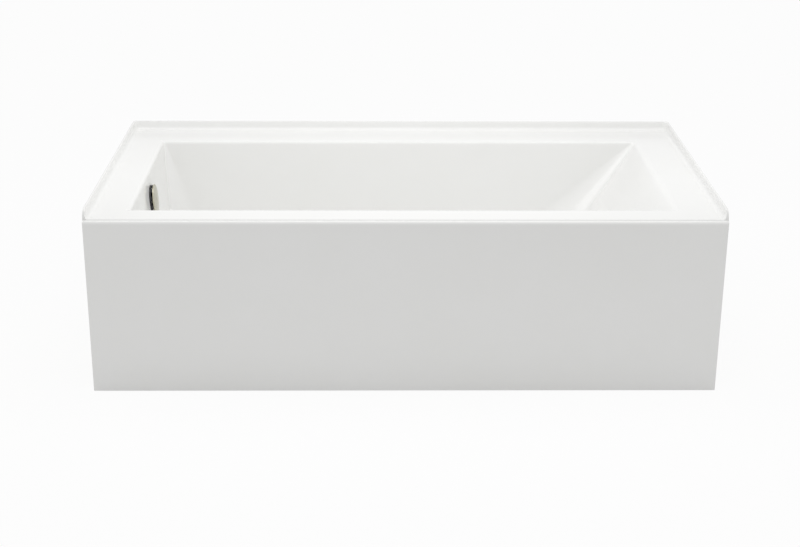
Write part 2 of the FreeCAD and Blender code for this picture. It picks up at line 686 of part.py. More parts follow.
def drain_flange():
    """Turned flange and threaded body, with a cross that guides the stopper's stem."""
    bottom = DRAIN_FLANGE_BOTTOM - DRAIN_BODY
    profile = [
        (DRAIN_BORE, bottom), (DRAIN_THREAD, bottom), (DRAIN_THREAD, DRAIN_FLANGE_BOTTOM),
        (DRAIN_FLANGE_RADIUS, DRAIN_FLANGE_BOTTOM),
        (DRAIN_FLANGE_RADIUS, DRAIN_FLANGE_BOTTOM + DRAIN_FLANGE_EDGE),
        (DRAIN_FLANGE_RADIUS - DRAIN_FLANGE_BEVEL, DRAIN_FLANGE_TOP),
        (STOPPER_SEAT_RADIUS + STOPPER_SEAT_LEAD, DRAIN_FLANGE_TOP),
        (STOPPER_SEAT_RADIUS, DRAIN_FLANGE_TOP - STOPPER_SEAT_LEAD), (STOPPER_SEAT_RADIUS, STOPPER_SEAT),
        (DRAIN_BORE, STOPPER_SEAT),
    ]
    flange = turned(profile)
    hub = Part.makeCylinder(SPIDER_HUB, SPIDER_HUB_HEIGHT, Vector(0, 0, bottom))
    arms = []
    for number in range(SPIDER_ARMS):
        arm = box((0, -SPIDER_ARM / 2, bottom),
                  (DRAIN_BORE + BITE, SPIDER_ARM / 2, bottom + SPIDER_HUB_HEIGHT / 2))
        arm.rotate(Vector(0, 0, 0), Vector(0, 0, 1), 45 + 360 / SPIDER_ARMS * number)
        arms.append(arm)
    flange = flange.fuse([hub] + arms)
    flange = flange.cut(Part.makeCylinder(STEM + PIN_CLEARANCE, DRAIN_BODY, Vector(0, 0, bottom - PAST)))
    flange.translate(Vector(DRAIN_X, BASIN_Y, 0))
    return flange


def stopper_cap():
    """Domed cap with the boss that takes the stem."""
    under = STOPPER_SEAT + STOPPER_SEAL
    rim = Part.makeCylinder(STOPPER_RADIUS, STOPPER_RIM, Vector(0, 0, under))
    sphere_radius = (STOPPER_RADIUS ** 2 + STOPPER_DOME ** 2) / (2 * STOPPER_DOME)
    sphere = Part.makeSphere(sphere_radius, Vector(0, 0, under + STOPPER_RIM + STOPPER_DOME - sphere_radius))
    over_rim = Part.makeCylinder(STOPPER_RADIUS, STOPPER_DOME + PAST, Vector(0, 0, under + STOPPER_RIM))
    dome = sphere.common(over_rim)
    boss = Part.makeCylinder(STOPPER_BOSS, STOPPER_BOSS_HEIGHT, Vector(0, 0, under - STOPPER_BOSS_HEIGHT))
    cap = rim.fuse([dome, boss])
    cap = cap.cut(Part.makeCylinder(STEM, STEM_GRIP, Vector(0, 0, under - STOPPER_BOSS_HEIGHT)))
    cap.translate(Vector(DRAIN_X, BASIN_Y, 0))
    return cap


def stopper_seal():
    outer = STOPPER_RADIUS - JOINT_GAP
    inner = outer - STOPPER_SEAL_WIDTH
    return ring_solid(outer, inner, STOPPER_SEAT, STOPPER_SEAT + STOPPER_SEAL, DRAIN_X, BASIN_Y)


def stopper_stem():
    """Threaded rod from the cap's boss down to the lever's nose."""
    top = STOPPER_SEAT + STOPPER_SEAL - STOPPER_BOSS_HEIGHT + STEM_GRIP
    tip = 1.0
    profile = [(0, STEM_FOOT), (STEM - tip, STEM_FOOT), (STEM, STEM_FOOT + tip), (STEM, top), (0, top)]
    return turned(profile, DRAIN_X, BASIN_Y)


def hexagon_nut(across, bore, low, high):
    corner_radius = across / math.cos(math.pi / 6)
    bearings = [math.pi / 3 * side for side in range(6)]
    points = [Vector(corner_radius * math.cos(bearing), corner_radius * math.sin(bearing), low)
              for bearing in bearings]
    nut = Part.Face(Part.makePolygon(points + points[:1])).extrude(Vector(0, 0, high - low))
    return nut.cut(Part.makeCylinder(bore, high - low + 2 * PAST, Vector(0, 0, low - PAST)))


def stem_lock_nut():
    top = STOPPER_SEAT + STOPPER_SEAL - STOPPER_BOSS_HEIGHT
    nut = hexagon_nut(LOCK_NUT, STEM, top - LOCK_NUT_HEIGHT, top)
    nut.translate(Vector(DRAIN_X, BASIN_Y, 0))
    return nut


# ---- Drain shoe and lever -------------------------------------------------------------------------------

def drain_shoe():
    """Cup under the drain with a branch to the tee, a cable boss and the lever's two ears."""
    cup = Part.makeCylinder(SHOE_BORE + SHOE_WALL, SHOE_DEPTH, Vector(DRAIN_X, BASIN_Y, SHOE_BOTTOM))
    flange = Part.makeCylinder(SHOE_FLANGE_RADIUS, SHOE_FLANGE, Vector(DRAIN_X, BASIN_Y, SHOE_TOP - SHOE_FLANGE))
    branch = Part.makeCylinder(SOCKET_RADIUS, SHOE_BRANCH, Vector(DRAIN_X, BASIN_Y, WASTE_AXIS_HEIGHT),
                               Vector(-1, 0, 0))
    boss = Part.makeCylinder(GLAND_BOSS, SHOE_BOSS_REACH, Vector(DRAIN_X, BASIN_Y, cable_low()),
                             Vector(0, -1, 0))
    shoe = cup.fuse([flange, branch, boss])
    inside_floor = SHOE_BOTTOM + SHOE_FLOOR
    bore = Part.makeCylinder(SHOE_BORE, SHOE_TOP - inside_floor + PAST, Vector(DRAIN_X, BASIN_Y, inside_floor))
    way = Part.makeCylinder(PIPE_BORE, SHOE_BRANCH + PAST, Vector(DRAIN_X, BASIN_Y, WASTE_AXIS_HEIGHT),
                            Vector(-1, 0, 0))
    socket = Part.makeCylinder(SOCKET_BORE, SOCKET_DEPTH + PAST,
                               Vector(DRAIN_X - SHOE_BRANCH + SOCKET_DEPTH, BASIN_Y, WASTE_AXIS_HEIGHT),
                               Vector(-1, 0, 0))
    cable_way = Part.makeCylinder(CABLE_WAY, SHOE_BOSS_REACH + PAST, Vector(DRAIN_X, BASIN_Y, cable_low()),
                                  Vector(0, -1, 0))
    shoe = shoe.cut(bore).cut(way).cut(socket).cut(cable_way)
    ears = []
    for side in (-1, 1):
        near = side * (LEVER_WIDTH / 2 + LEVER_EAR_GAP)
        far = near + side * LEVER_EAR
        ears.append(box((DRAIN_X + min(near, far), BASIN_Y - SHOE_BORE - BITE, inside_floor - BITE),
                        (DRAIN_X + max(near, far), LEVER_Y + LEVER_HUB + LEVER_EAR_EDGE, LEVER_Z + LEVER_HUB)))
    inside = Part.makeCylinder(SHOE_BORE + BITE, SHOE_DEPTH, Vector(DRAIN_X, BASIN_Y, inside_floor - BITE))
    shoe = shoe.fuse([ear.common(inside) for ear in ears])
    pin_start = Vector(DRAIN_X - lever_pin_length() / 2 - PAST, LEVER_Y, LEVER_Z)
    pin_way = Part.makeCylinder(LEVER_PIN, lever_pin_length() + 2 * PAST, pin_start, Vector(1, 0, 0))
    return shoe.cut(pin_way)


def cable_low():
    """Height of the cable where it meets the shoe, level with the peg of the lever."""
    return LEVER_Z - LEVER_CABLE_ARM * math.cos(LEVER_REST)


def lever_pin_length():
    return LEVER_WIDTH + 2 * (LEVER_EAR_GAP + LEVER_EAR)


def lever_pin():
    length = lever_pin_length()
    return Part.makeCylinder(LEVER_PIN, length, Vector(DRAIN_X - length / 2, LEVER_Y, LEVER_Z), Vector(1, 0, 0))


def lift_lever():
    """Bell crank: a nose under the stem and a peg for the cable, at right angles on one hub."""
    def slab(radius, y, z):
        return Part.makeCylinder(radius, LEVER_WIDTH, Vector(-LEVER_WIDTH / 2, y, z), Vector(1, 0, 0))

    hub = slab(LEVER_HUB, 0, 0)
    nose = slab(LEVER_NOSE, LEVER_ARM, 0)
    bar = box((-LEVER_WIDTH / 2, 0, -LEVER_BAR / 2), (LEVER_WIDTH / 2, LEVER_ARM, LEVER_BAR / 2))
    peg = slab(LEVER_PEG, 0, -LEVER_CABLE_ARM)
    arm = box((-LEVER_WIDTH / 2, -LEVER_BAR / 2, -LEVER_CABLE_ARM), (LEVER_WIDTH / 2, LEVER_BAR / 2, 0))
    lever = hub.fuse([nose, bar, peg, arm])
    lever = lever.cut(slab(LEVER_PIN + PIN_CLEARANCE, 0, 0))
    lever.rotate(Vector(0, 0, 0), Vector(1, 0, 0), -math.degrees(LEVER_REST))
    lever.translate(Vector(DRAIN_X, LEVER_Y, LEVER_Z))
    return lever


# ---- Pipes ----------------------------------------------------------------------------------------------

def socket_bottom(mouth):
    return mouth - SOCKET_DEPTH


def waste_tee():
    """Tee that joins the overflow's riser and the shoe's pipe, and turns down to the outlet."""
    body = Part.makeCylinder(SOCKET_RADIUS, TEE_TOP - OUTLET_BOTTOM - OUTLET_LENGTH,
                             Vector(RISER_X, BASIN_Y, OUTLET_BOTTOM + OUTLET_LENGTH))
    outlet = Part.makeCylinder(PIPE, OUTLET_LENGTH + BITE, Vector(RISER_X, BASIN_Y, OUTLET_BOTTOM))
    centre = Vector(RISER_X, BASIN_Y, WASTE_AXIS_HEIGHT)
    branch = Part.makeCylinder(SOCKET_RADIUS, TEE_REACH, centre, Vector(1, 0, 0))
    tee = body.fuse([outlet, branch])
    bores = [
        Part.makeCylinder(PIPE_BORE, TEE_TOP, Vector(RISER_X, BASIN_Y, OUTLET_BOTTOM - PAST)),
        Part.makeCylinder(SOCKET_BORE, SOCKET_DEPTH + PAST, Vector(RISER_X, BASIN_Y, socket_bottom(TEE_TOP))),
        Part.makeCylinder(PIPE_BORE, TEE_REACH + PAST, centre, Vector(1, 0, 0)),
        Part.makeCylinder(SOCKET_BORE, SOCKET_DEPTH + PAST, centre + Vector(socket_bottom(TEE_REACH), 0, 0),
                          Vector(1, 0, 0)),
    ]
    return tee.cut(Part.Compound(bores[:1]).fuse(bores[1:]))


def pipe(low, high):
    return ring_solid(PIPE, PIPE_BORE, low, high)


def overflow_riser():
    riser = pipe(socket_bottom(TEE_TOP), OUTLET_Z + SOCKET_DEPTH)
    riser.translate(Vector(RISER_X, BASIN_Y, 0))
    return riser


def shoe_pipe():
    start = RISER_X + socket_bottom(TEE_REACH)
    finish = DRAIN_X - SHOE_BRANCH + SOCKET_DEPTH
    return along_x(pipe(0, finish - start), start, BASIN_Y, WASTE_AXIS_HEIGHT)


def slip_nut():
    """Ribbed nut that closes a socket whose mouth is at z = 0 and whose pipe leaves upwards."""
    inner = SOCKET_RADIUS + SOCKET_CLEARANCE
    outer = inner + NUT_WALL
    top = NUT_HEIGHT - NUT_OVERLAP
    profile = [(inner, -NUT_OVERLAP), (outer, -NUT_OVERLAP), (outer, top - NUT_BEVEL), (outer - NUT_BEVEL, top),
               (SOCKET_BORE + JOINT_GAP, top), (SOCKET_BORE + JOINT_GAP, WASHER), (inner, WASHER)]
    nut = turned(profile)
    ribs = []
    for number in range(NUT_RIBS):
        rib = box((outer - BITE, -NUT_RIB_WIDTH / 2, -NUT_OVERLAP),
                  (outer + NUT_RIB, NUT_RIB_WIDTH / 2, top - NUT_RIB_END))
        rib.rotate(Vector(0, 0, 0), Vector(0, 0, 1), 360 / NUT_RIBS * number)
        ribs.append(rib)
    return nut.fuse(ribs)


def slip_washer():
    """Flat sealing washer between the socket's mouth and the nut."""
    return ring_solid(SOCKET_RADIUS - JOINT_GAP, PIPE, 0, WASHER)


def slip_joints():
    """Each slip joint by name, with the move that takes a part from its own frame to that joint."""
    def upright(z, upside_down):
        def place(shape):
            shape = shape.copy()
            if upside_down:
                shape.rotate(Vector(0, 0, 0), Vector(1, 0, 0), 180)
            shape.translate(Vector(RISER_X, BASIN_Y, z))
            return shape
        return place

    return {
        "tee_top": upright(TEE_TOP, False),
        "overflow_outlet": upright(OUTLET_Z, True),
        "tee_branch": lambda shape: along_x(shape, RISER_X + TEE_REACH, BASIN_Y, WASTE_AXIS_HEIGHT),
    }


# ---- Overflow -------------------------------------------------------------------------------------------
# These are made in the overflow's own frame: z = 0 is the face of the end wall and +Z leaves it.

def overflow_body():
    """Elbow behind the end wall: sealing plate, neck through the hole, cup, outlet and cable boss."""
    plate = Part.makeCylinder(OVERFLOW_FLANGE, OVERFLOW_PLATE, Vector(0, 0, PLATE_BACK))
    neck = Part.makeCylinder(OVERFLOW_NECK, -PLATE_BACK - OVERFLOW_NECK_SHORT, Vector(0, 0, PLATE_BACK))
    cup = Part.makeCylinder(OVERFLOW_CUP, OVERFLOW_CUP_LENGTH, Vector(0, 0, CUP_BACK))
    boss = Part.makeCylinder(GLAND_BOSS, CUP_BOSS_REACH, Vector(*crank_peg_place()), Vector(0, -1, 0))
    outside = on_end_wall(plate.fuse([neck, cup, boss]))
    outlet = Part.makeCylinder(SOCKET_RADIUS, OVERFLOW_Z - OUTLET_Z, Vector(RISER_X, BASIN_Y, OUTLET_Z))
    outside = outside.fuse(outlet)

    cup_bore = Part.makeCylinder(OVERFLOW_CUP - OVERFLOW_CUP_WALL, OVERFLOW_CUP_LENGTH - OVERFLOW_CUP_WALL,
                                 Vector(0, 0, CUP_BACK + OVERFLOW_CUP_WALL))
    neck_bore = Part.makeCylinder(OVERFLOW_BORE, -PLATE_BACK + 2 * PAST, Vector(0, 0, PLATE_BACK - PAST))
    cable_way = Part.makeCylinder(CABLE_WAY, CUP_BOSS_REACH + PAST, Vector(*crank_peg_place()), Vector(0, -1, 0))
    inside = on_end_wall(cup_bore.fuse([neck_bore, cable_way]))
    drop = Part.makeCylinder(PIPE_BORE, OVERFLOW_Z - OUTLET_Z + PAST, Vector(RISER_X, BASIN_Y, OUTLET_Z - PAST))
    socket = Part.makeCylinder(SOCKET_BORE, SOCKET_DEPTH + PAST, Vector(RISER_X, BASIN_Y, OUTLET_Z - PAST))
    body = outside.cut(inside.fuse([drop, socket]))

    low = PLATE_FRONT
    bearing = Part.makeCylinder(SPINDLE_BEARING, SPINDLE_BEARING_LENGTH, Vector(0, 0, low))
    arms = []
    for number in range(BEARING_ARMS):
        arm = box((0, -BEARING_ARM / 2, low),
                  (OVERFLOW_BORE + BITE, BEARING_ARM / 2, low + SPINDLE_BEARING_LENGTH / 2))
        arm.rotate(Vector(0, 0, 0), Vector(0, 0, 1), 180 + 360 / BEARING_ARMS * number)
        arms.append(arm)
    bearing = bearing.fuse(arms)
    body = body.fuse(on_end_wall(bearing))
    ways = [Part.makeCylinder(SPINDLE + PIN_CLEARANCE, SPINDLE_BEARING_LENGTH + 2 * PAST,
                              Vector(0, 0, low - PAST))]
    ways += [Part.makeCylinder(CLAMP_SCREW, CLAMP_SCREW_LENGTH, Vector(x, y, CLAMP_RING - CLAMP_SCREW_LENGTH))
             for x, y in clamp_screw_places()]
    for way in ways:
        body = body.cut(on_end_wall(way))
    return body


def crank_peg_place():
    """Middle of the crank's peg half way through the handle's turn: straight below the spindle."""
    return CRANK_THROW, 0.0, CUP_BACK + OVERFLOW_CUP_WALL + CRANK_STANDOFF - CRANK / 2


def clamp_screw_places():
    return [(0.0, side * CLAMP_SCREW_CIRCLE) for side in (-1, 1)]


def overflow_gasket():
    return ring_solid(OVERFLOW_FLANGE, OVERFLOW_NECK, PLATE_FRONT, -SHEET)


def overflow_clamp_ring():
    """Plate inside the basin that the two screws draw against the wall."""
    ring = ring_solid(CLAMP_RING_RADIUS, OVERFLOW_BORE, 0, CLAMP_RING)
    for x, y in clamp_screw_places():
        ring = ring.cut(Part.makeCylinder(CLAMP_SCREW, CLAMP_RING + 2 * PAST, Vector(x, y, -PAST)))
    return ring


def clamp_screws():
    """Slotted screws through the clamp ring into the overflow's neck."""
    screws = []
    head_top = CLAMP_RING + CLAMP_SCREW_HEAD_HEIGHT
    reach = CLAMP_SCREW_HEAD + PAST
    for x, y in clamp_screw_places():
        head = Part.makeCylinder(CLAMP_SCREW_HEAD, CLAMP_SCREW_HEAD_HEIGHT, Vector(x, y, CLAMP_RING))
        shank = Part.makeCylinder(CLAMP_SCREW, CLAMP_SCREW_LENGTH, Vector(x, y, CLAMP_RING - CLAMP_SCREW_LENGTH))
        slot = box((x - SCREW_SLOT / 2, y - reach, head_top - SCREW_SLOT),
                   (x + SCREW_SLOT / 2, y + reach, head_top + PAST))
        screws.append(head.fuse(shank).cut(slot))
    return screws


def intake_ring():
    """Moulded ring that the handle stands off by, slotted so that water runs in behind it."""
    top = CLAMP_RING + INTAKE_HEIGHT
    ring = ring_solid(INTAKE_RADIUS, INTAKE_RADIUS - INTAKE_WALL, CLAMP_RING, top)
    for number in range(INTAKE_SLOTS):
        slot = box((0, -INTAKE_SLOT_WIDTH / 2, top - INTAKE_SLOT_DEPTH),
                   (INTAKE_RADIUS + PAST, INTAKE_SLOT_WIDTH / 2, top + PAST))
        slot.rotate(Vector(0, 0, 0), Vector(0, 0, 1), 360 / INTAKE_SLOTS * (number + 0.5))
        ring = ring.cut(slot)
    return ring


def handle_back():
    return CLAMP_RING + INTAKE_HEIGHT + HANDLE_GAP


def overflow_handle():
    """Dished disc with a rolled rim and two finger scallops, and a hub for the spindle."""
    back = handle_back()
    face = back + HANDLE_RIM
    rim_radius = HANDLE_RIM / 2
    flat = HANDLE_RADIUS - rim_radius
    sphere_radius = (flat ** 2 + HANDLE_DOME ** 2) / (2 * HANDLE_DOME)
    crown = Vector(0, 0, face + HANDLE_DOME)
    half_arc = math.asin(flat / sphere_radius) / 2
    shoulder = Vector(sphere_radius * math.sin(half_arc), 0, crown.z - sphere_radius * (1 - math.cos(half_arc)))
    lines = [
        Part.makeLine(Vector(0, 0, back), Vector(flat, 0, back)),
        Part.Arc(Vector(flat, 0, back), Vector(HANDLE_RADIUS, 0, back + rim_radius),
                 Vector(flat, 0, face)).toShape(),
        Part.Arc(Vector(flat, 0, face), shoulder, crown).toShape(),
        Part.makeLine(crown, Vector(0, 0, back)),
    ]
    disc = Part.Face(Part.Wire(lines)).revolve(Vector(0, 0, 0), Vector(0, 0, 1), 360)
    depth = HANDLE_RIM + HANDLE_DOME + 2 * PAST
    for side in (-1, 1):
        centre = side * (HANDLE_RADIUS + HANDLE_GRIP_RADIUS - HANDLE_GRIP_DEPTH)
        disc = disc.cut(Part.makeCylinder(HANDLE_GRIP_RADIUS, depth, Vector(0, centre, back - PAST)))
    hub_foot = back - HANDLE_HUB_LENGTH
    handle = disc.fuse(Part.makeCylinder(HANDLE_HUB, HANDLE_HUB_LENGTH, Vector(0, 0, hub_foot)))
    handle = handle.cut(Part.makeCylinder(SPINDLE, HANDLE_HUB_LENGTH + PAST, Vector(0, 0, hub_foot - PAST)))
    screw_way = Part.makeCylinder(GRUB_SCREW, HANDLE_HUB, Vector(0, 0, grub_screw_height()), Vector(1, 0, 0))
    return handle.cut(screw_way)


def grub_screw_height():
    return handle_back() - HANDLE_HUB_LENGTH / 2


def grub_screw():
    length = HANDLE_HUB - SPINDLE - GRUB_SCREW_SUNK
    return Part.makeCylinder(GRUB_SCREW, length, Vector(SPINDLE, 0, grub_screw_height()), Vector(1, 0, 0))


def overflow_spindle():
    """Spindle with the crank disc and its peg, drawn at the closed end of the turn."""
    x, y, peg_middle = crank_peg_place()
    level = peg_middle + CRANK / 2
    crank_top = level + CRANK
    top = handle_back()
    shaft = Part.makeCylinder(SPINDLE, top - level, Vector(0, 0, level))
    disc = Part.makeCylinder(CRANK_RADIUS, CRANK, Vector(0, 0, level))
    shoulder = Part.makeCylinder(CLIP_RADIUS, PLATE_FRONT - JOINT_GAP - crank_top, Vector(0, 0, crank_top))
    peg = Part.makeCylinder(LEVER_PEG, CRANK, Vector(x, y, level - CRANK))
    spindle = shaft.fuse([disc, shoulder, peg])
    spindle.rotate(Vector(0, 0, 0), Vector(0, 0, 1), HANDLE_TURN / 2)
    return spindle


def spindle_clip():
    """Spring clip in front of the bearing that keeps the spindle from sliding back."""
    low = PLATE_FRONT + SPINDLE_BEARING_LENGTH + JOINT_GAP
    clip = ring_solid(CLIP_RADIUS, SPINDLE, low, low + CLIP)
    mouth = box((0, -CLIP_OPENING / 2, low - PAST),
                (CLIP_RADIUS + PAST, CLIP_OPENING / 2, low + CLIP + PAST))
    return clip.cut(mouth)


# ---- Cable ----------------------------------------------------------------------------------------------

def cable_route():
    """Corners of the cable's route, from the overflow's gland to the shoe's."""
    start = on_end_wall(Part.Vertex(*crank_peg_place())).Point
    outer = BASIN_Y - CABLE_STANDOFF
    low = cable_low()
    return [
        Vector(start.x, BASIN_Y - CUP_BOSS_REACH, start.z),
        Vector(start.x, outer, start.z),
        Vector(start.x, outer, low),
        Vector(DRAIN_X, outer, low),
        Vector(DRAIN_X, BASIN_Y - SHOE_BOSS_REACH, low),
    ]


def cable_bend(before, point, after):
    """The largest arc that the two runs leave room for, up to the cable's own bend."""
    return min(CABLE_BEND, (point - before).Length - CABLE_STRAIGHT, (after - point).Length - CABLE_STRAIGHT)


def cable_sheath():
    """The sheathed cable, swept along straight runs joined by tangent arcs."""
    points = cable_route()
    edges = []
    length = 0.0
    here = points[0]
    for before, point, after in zip(points, points[1:], points[2:]):
        come = (point - before).normalize()
        leave = (after - point).normalize()
        radius = cable_bend(before, point, after)
        begin = point - come * radius
        finish = point + leave * radius
        centre = begin + leave * radius
        middle = centre + (point - centre).normalize() * radius
        edges.append(Part.LineSegment(here, begin).toShape())
        edges.append(Part.Arc(begin, middle, finish).toShape())
        length += (begin - here).Length + math.pi / 2 * radius
        here = finish
    edges.append(Part.LineSegment(here, points[-1]).toShape())
    length += (points[-1] - here).Length
    path = Part.Wire(edges)
    section = Part.Wire(Part.makeCircle(CABLE, points[0], points[1] - points[0]))
    cable = path.makePipeShell([section], True, False)
    filled = cable.Volume / (math.pi * CABLE ** 2 * length)
    print(f"cable {length:.1f} mm, volume over section times length {filled:.5f}")
    return cable


def cable_glands():
    """Nuts that hold the sheath's two ends to their bosses."""
    points = cable_route()
    glands = []
    for end, inward in ((points[0], points[0] - points[1]), (points[-1], points[-1] - points[-2])):
        inward = inward.normalize()
        start = end - inward * (GLAND_LENGTH - GLAND_THREAD)
        nut = Part.makeCylinder(GLAND_RADIUS, GLAND_LENGTH, start, inward)
        nut = nut.cut(Part.makeCylinder(CABLE, GLAND_LENGTH + 2 * PAST, start - inward * PAST, inward))
        nut = nut.cut(Part.makeCylinder(GLAND_BOSS, GLAND_THREAD + PAST, end, inward))
        glands.append(nut)
    return glands


# ---- Everything, node by node ---------------------------------------------------------------------------

os.makedirs("parts", exist_ok=True)

bathing_space = basin_form(0)
skin_form = basin_form(SKIN)
backing_form = basin_form(SHEET)

export("bath_shell", *divided(bath_shell(bathing_space, skin_form)))
export("glass_fibre_backing", glass_fibre_backing(skin_form, backing_form))

export("base_board", base_board())
export("support_feet", *[support_foot(x, y) for x, y in foot_places()])
export("foot_screws", *[foot_screw(x, y) for x, y in foot_places()])
export("front_rim_batten", front_rim_batten())
export("apron_uprights", *apron_uprights())
export("apron_foot_rail", apron_foot_rail())

export("drain_flange", drain_flange())
export("drain_flange_seal", ring_solid(DRAIN_FLANGE_RADIUS - SEAL_INSET, DRAIN_HOLE, RECESS_FLOOR,
                                       DRAIN_FLANGE_BOTTOM, DRAIN_X, BASIN_Y))
export("stopper_cap", stopper_cap())
export("stopper_seal", stopper_seal())
export("stopper_stem", stopper_stem())
export("stem_lock_nut", stem_lock_nut())

export("drain_gasket", ring_solid(SHOE_FLANGE_RADIUS, DRAIN_HOLE, SHOE_TOP, GASKET_TOP, DRAIN_X, BASIN_Y))
export("drain_shoe", drain_shoe())
export("lever_pin", lever_pin())
export("lift_lever", lift_lever())

export("shoe_pipe", shoe_pipe())
export("waste_tee", waste_tee())
export("overflow_riser", overflow_riser())
for joint, place in slip_joints().items():
    export(joint + "_nut", place(slip_nut()))
    export(joint + "_washer", place(slip_washer()))

export("overflow_body", overflow_body())
export("overflow_gasket", on_end_wall(overflow_gasket()))
export("overflow_clamp_ring", on_end_wall(overflow_clamp_ring()))
export("clamp_ring_screws", *[on_end_wall(screw) for screw in clamp_screws()])
export("intake_ring", on_end_wall(intake_ring()))
export("overflow_handle", on_end_wall(overflow_handle()))
export("handle_grub_screw", on_end_wall(grub_screw()))
export("overflow_spindle", on_end_wall(overflow_spindle()))
export("spindle_clip", on_end_wall(spindle_clip()))

export("cable_sheath", cable_sheath())
export("cable_glands", *cable_glands())
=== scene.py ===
import math

import bmesh
import bpy
import numpy as np
from mathutils import Matrix, Vector


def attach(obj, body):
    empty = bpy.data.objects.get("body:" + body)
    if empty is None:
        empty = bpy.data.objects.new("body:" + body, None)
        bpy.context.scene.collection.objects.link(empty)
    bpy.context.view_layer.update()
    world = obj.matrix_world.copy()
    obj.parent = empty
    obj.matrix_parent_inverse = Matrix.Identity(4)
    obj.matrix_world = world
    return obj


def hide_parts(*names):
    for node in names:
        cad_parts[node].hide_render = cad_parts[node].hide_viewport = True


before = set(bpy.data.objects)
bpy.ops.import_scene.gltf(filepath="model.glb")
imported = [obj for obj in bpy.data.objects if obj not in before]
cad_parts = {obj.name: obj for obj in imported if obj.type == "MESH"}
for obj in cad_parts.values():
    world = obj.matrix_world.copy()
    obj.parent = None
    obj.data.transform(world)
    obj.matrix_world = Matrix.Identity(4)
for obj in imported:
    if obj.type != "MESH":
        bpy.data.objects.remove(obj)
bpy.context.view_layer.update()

# ---- The moulded sheet ----------------------------------------------------------------------------------
# One sheet of white acrylic, heated and drawn down over a mould, so that basin, deck and tile flange are a
# single skin 4 mm thick.  The mould side is polished, and every fold of it has a small radius.
# Lengths in this section are millimetres.

HALF_LENGTH, HALF_WIDTH, DECK, TOP, SKIN = 762.0, 406.5, 437.0, 462.4, 4.0
FLANGE_WALL, FLANGE_COVE, FLANGE_EDGE = 5.0, 12.0, 1.8
FLANGE_OUTER_CORNER, FLANGE_INNER_CORNER = 8.0, 16.0
FLANGE_START, FLANGE_END_RADIUS = -HALF_WIDTH + 9.5, 25.0
FRONT_EDGE, APRON_CORNER = 9.0, 3.0
BASIN_Y, BASIN_HALF = -15.5, 300.0
DRAIN_OPENING, REST_OPENING = -662.0, 650.0
SIDE_LEAN, DRAIN_LEAN, REST_LEAN = (math.tan(math.radians(a)) for a in (6.0, 5.0, 36.3))
DRAIN_FAN, REST_FAN, FAN_START = (0.345, 0.16), (0.566, 0.245), 14.0
FLOOR, FLOOR_FALL, FLOOR_COVE, RIM_ROLL, CREASE = 90.0, 1 / 96, 30.0, 9.0, 7.0
DRAIN_X, RECESS_DEPTH, RECESS_RADIUS, RECESS_SLOPE, DRAIN_HOLE = -535.0, 5.0, 38.5, 4.0, 25.0
RECESS_EASE = 0.6
OVERFLOW_X, OVERFLOW_Z, OVERFLOW_TILT, OVERFLOW_HOLE = -655.7008, 365.0, math.radians(5.0), 31.0
ACRYLIC_WHITE, ACRYLIC_DEEP = "#f8f8f7", "#f5f5f3"

ENDS = ((-1, DRAIN_OPENING, DRAIN_LEAN, DRAIN_FAN), (1, REST_OPENING, REST_LEAN, REST_FAN))


def corner_points(end, depth, grow):
    """Start, middle and crease of a corner's fan, reaching rate * (depth + FAN_START) along each wall."""
    side, opening, lean, (along_rate, across_rate) = end
    wall = opening - side * (lean * depth - grow * math.hypot(1, lean))
    half = BASIN_HALF - SIDE_LEAN * depth + grow * math.hypot(1, SIDE_LEAN)
    turn = 2 * math.atan(across_rate / along_rate)
    along = along_rate * (depth + FAN_START)
    radius = along / math.sin(turn)
    start = wall - side * along
    middle = (start + side * radius * math.sin(turn / 2), half - radius * (1 - math.cos(turn / 2)))
    return (start, half), middle, (wall, half - across_rate * (depth + FAN_START))


def level_ring(depth, grow):
    """The basin's six key points at one level: a fan's three at each end."""
    return np.array([[(x, y, DECK - depth) for x, y in corner_points(end, depth, grow)] for end in ENDS])


def floor_ring(rise, grow, inset=0.0):
    """The same six points in the plane that lies rise above the floor, which falls towards the drain."""
    ring = []
    for end in ENDS:
        for which in range(3):
            depth = DECK - FLOOR
            for _ in range(6):
                x = corner_points(end, depth, grow)[which][0]
                height = FLOOR + FLOOR_FALL * (x - DRAIN_X) - grow + rise
                depth = DECK - height
            x, y = corner_points(end, depth, grow - inset)[which]
            ring.append((x, y, FLOOR + FLOOR_FALL * (x - DRAIN_X) - grow + rise))
    return np.array(ring).reshape(2, 3, 3)


def blended(first, corner, last, shares):
    """Rings on the curve (1-t)^2 first + 2t(1-t) corner + t^2 last, one for each share t."""
    return [(1 - t) ** 2 * first + 2 * t * (1 - t) * corner + t * t * last for t in shares]


def arc(a, m, b, t):
    """Points at shares t of the arc from a through m to b: a's radius, turned about the arc's centre."""
    u, v = m - a, b - a
    w = np.cross(u, v)
    centre = a + (v @ v * np.cross(w, u) + u @ u * np.cross(v, w)) / (2 * w @ w)
    e1 = (a - centre) / np.linalg.norm(a - centre)
    e2 = np.cross(w / np.linalg.norm(w), e1)
    angle = math.atan2((b - centre) @ e2, (b - centre) @ e1) % (2 * math.pi)
    radius = np.linalg.norm(a - centre)
    return centre + radius * (np.cos(t * angle)[:, None] * e1 + np.sin(t * angle)[:, None] * e2)


LONG = np.linspace(0, 1, 73)[:-1]
FAN = np.linspace(0, 1, 20)
BEND = np.linspace(0, 1, 7)[1:-1]
CORNER_REACH = 36.0
# Places past a front corner, from the apron's face: close together where the flange rises from the deck
FRONT_PLACES = np.array([6.5, 9.0, 9.5, 9.88, 11.3, 14.0, 17.8, 22.0, 26.8, 31.0, CORNER_REACH])
END_Y = np.linspace(CORNER_REACH - HALF_WIDTH, HALF_WIDTH - CORNER_REACH, 92)
END = (END_Y - END_Y[0]) / (END_Y[-1] - END_Y[0])


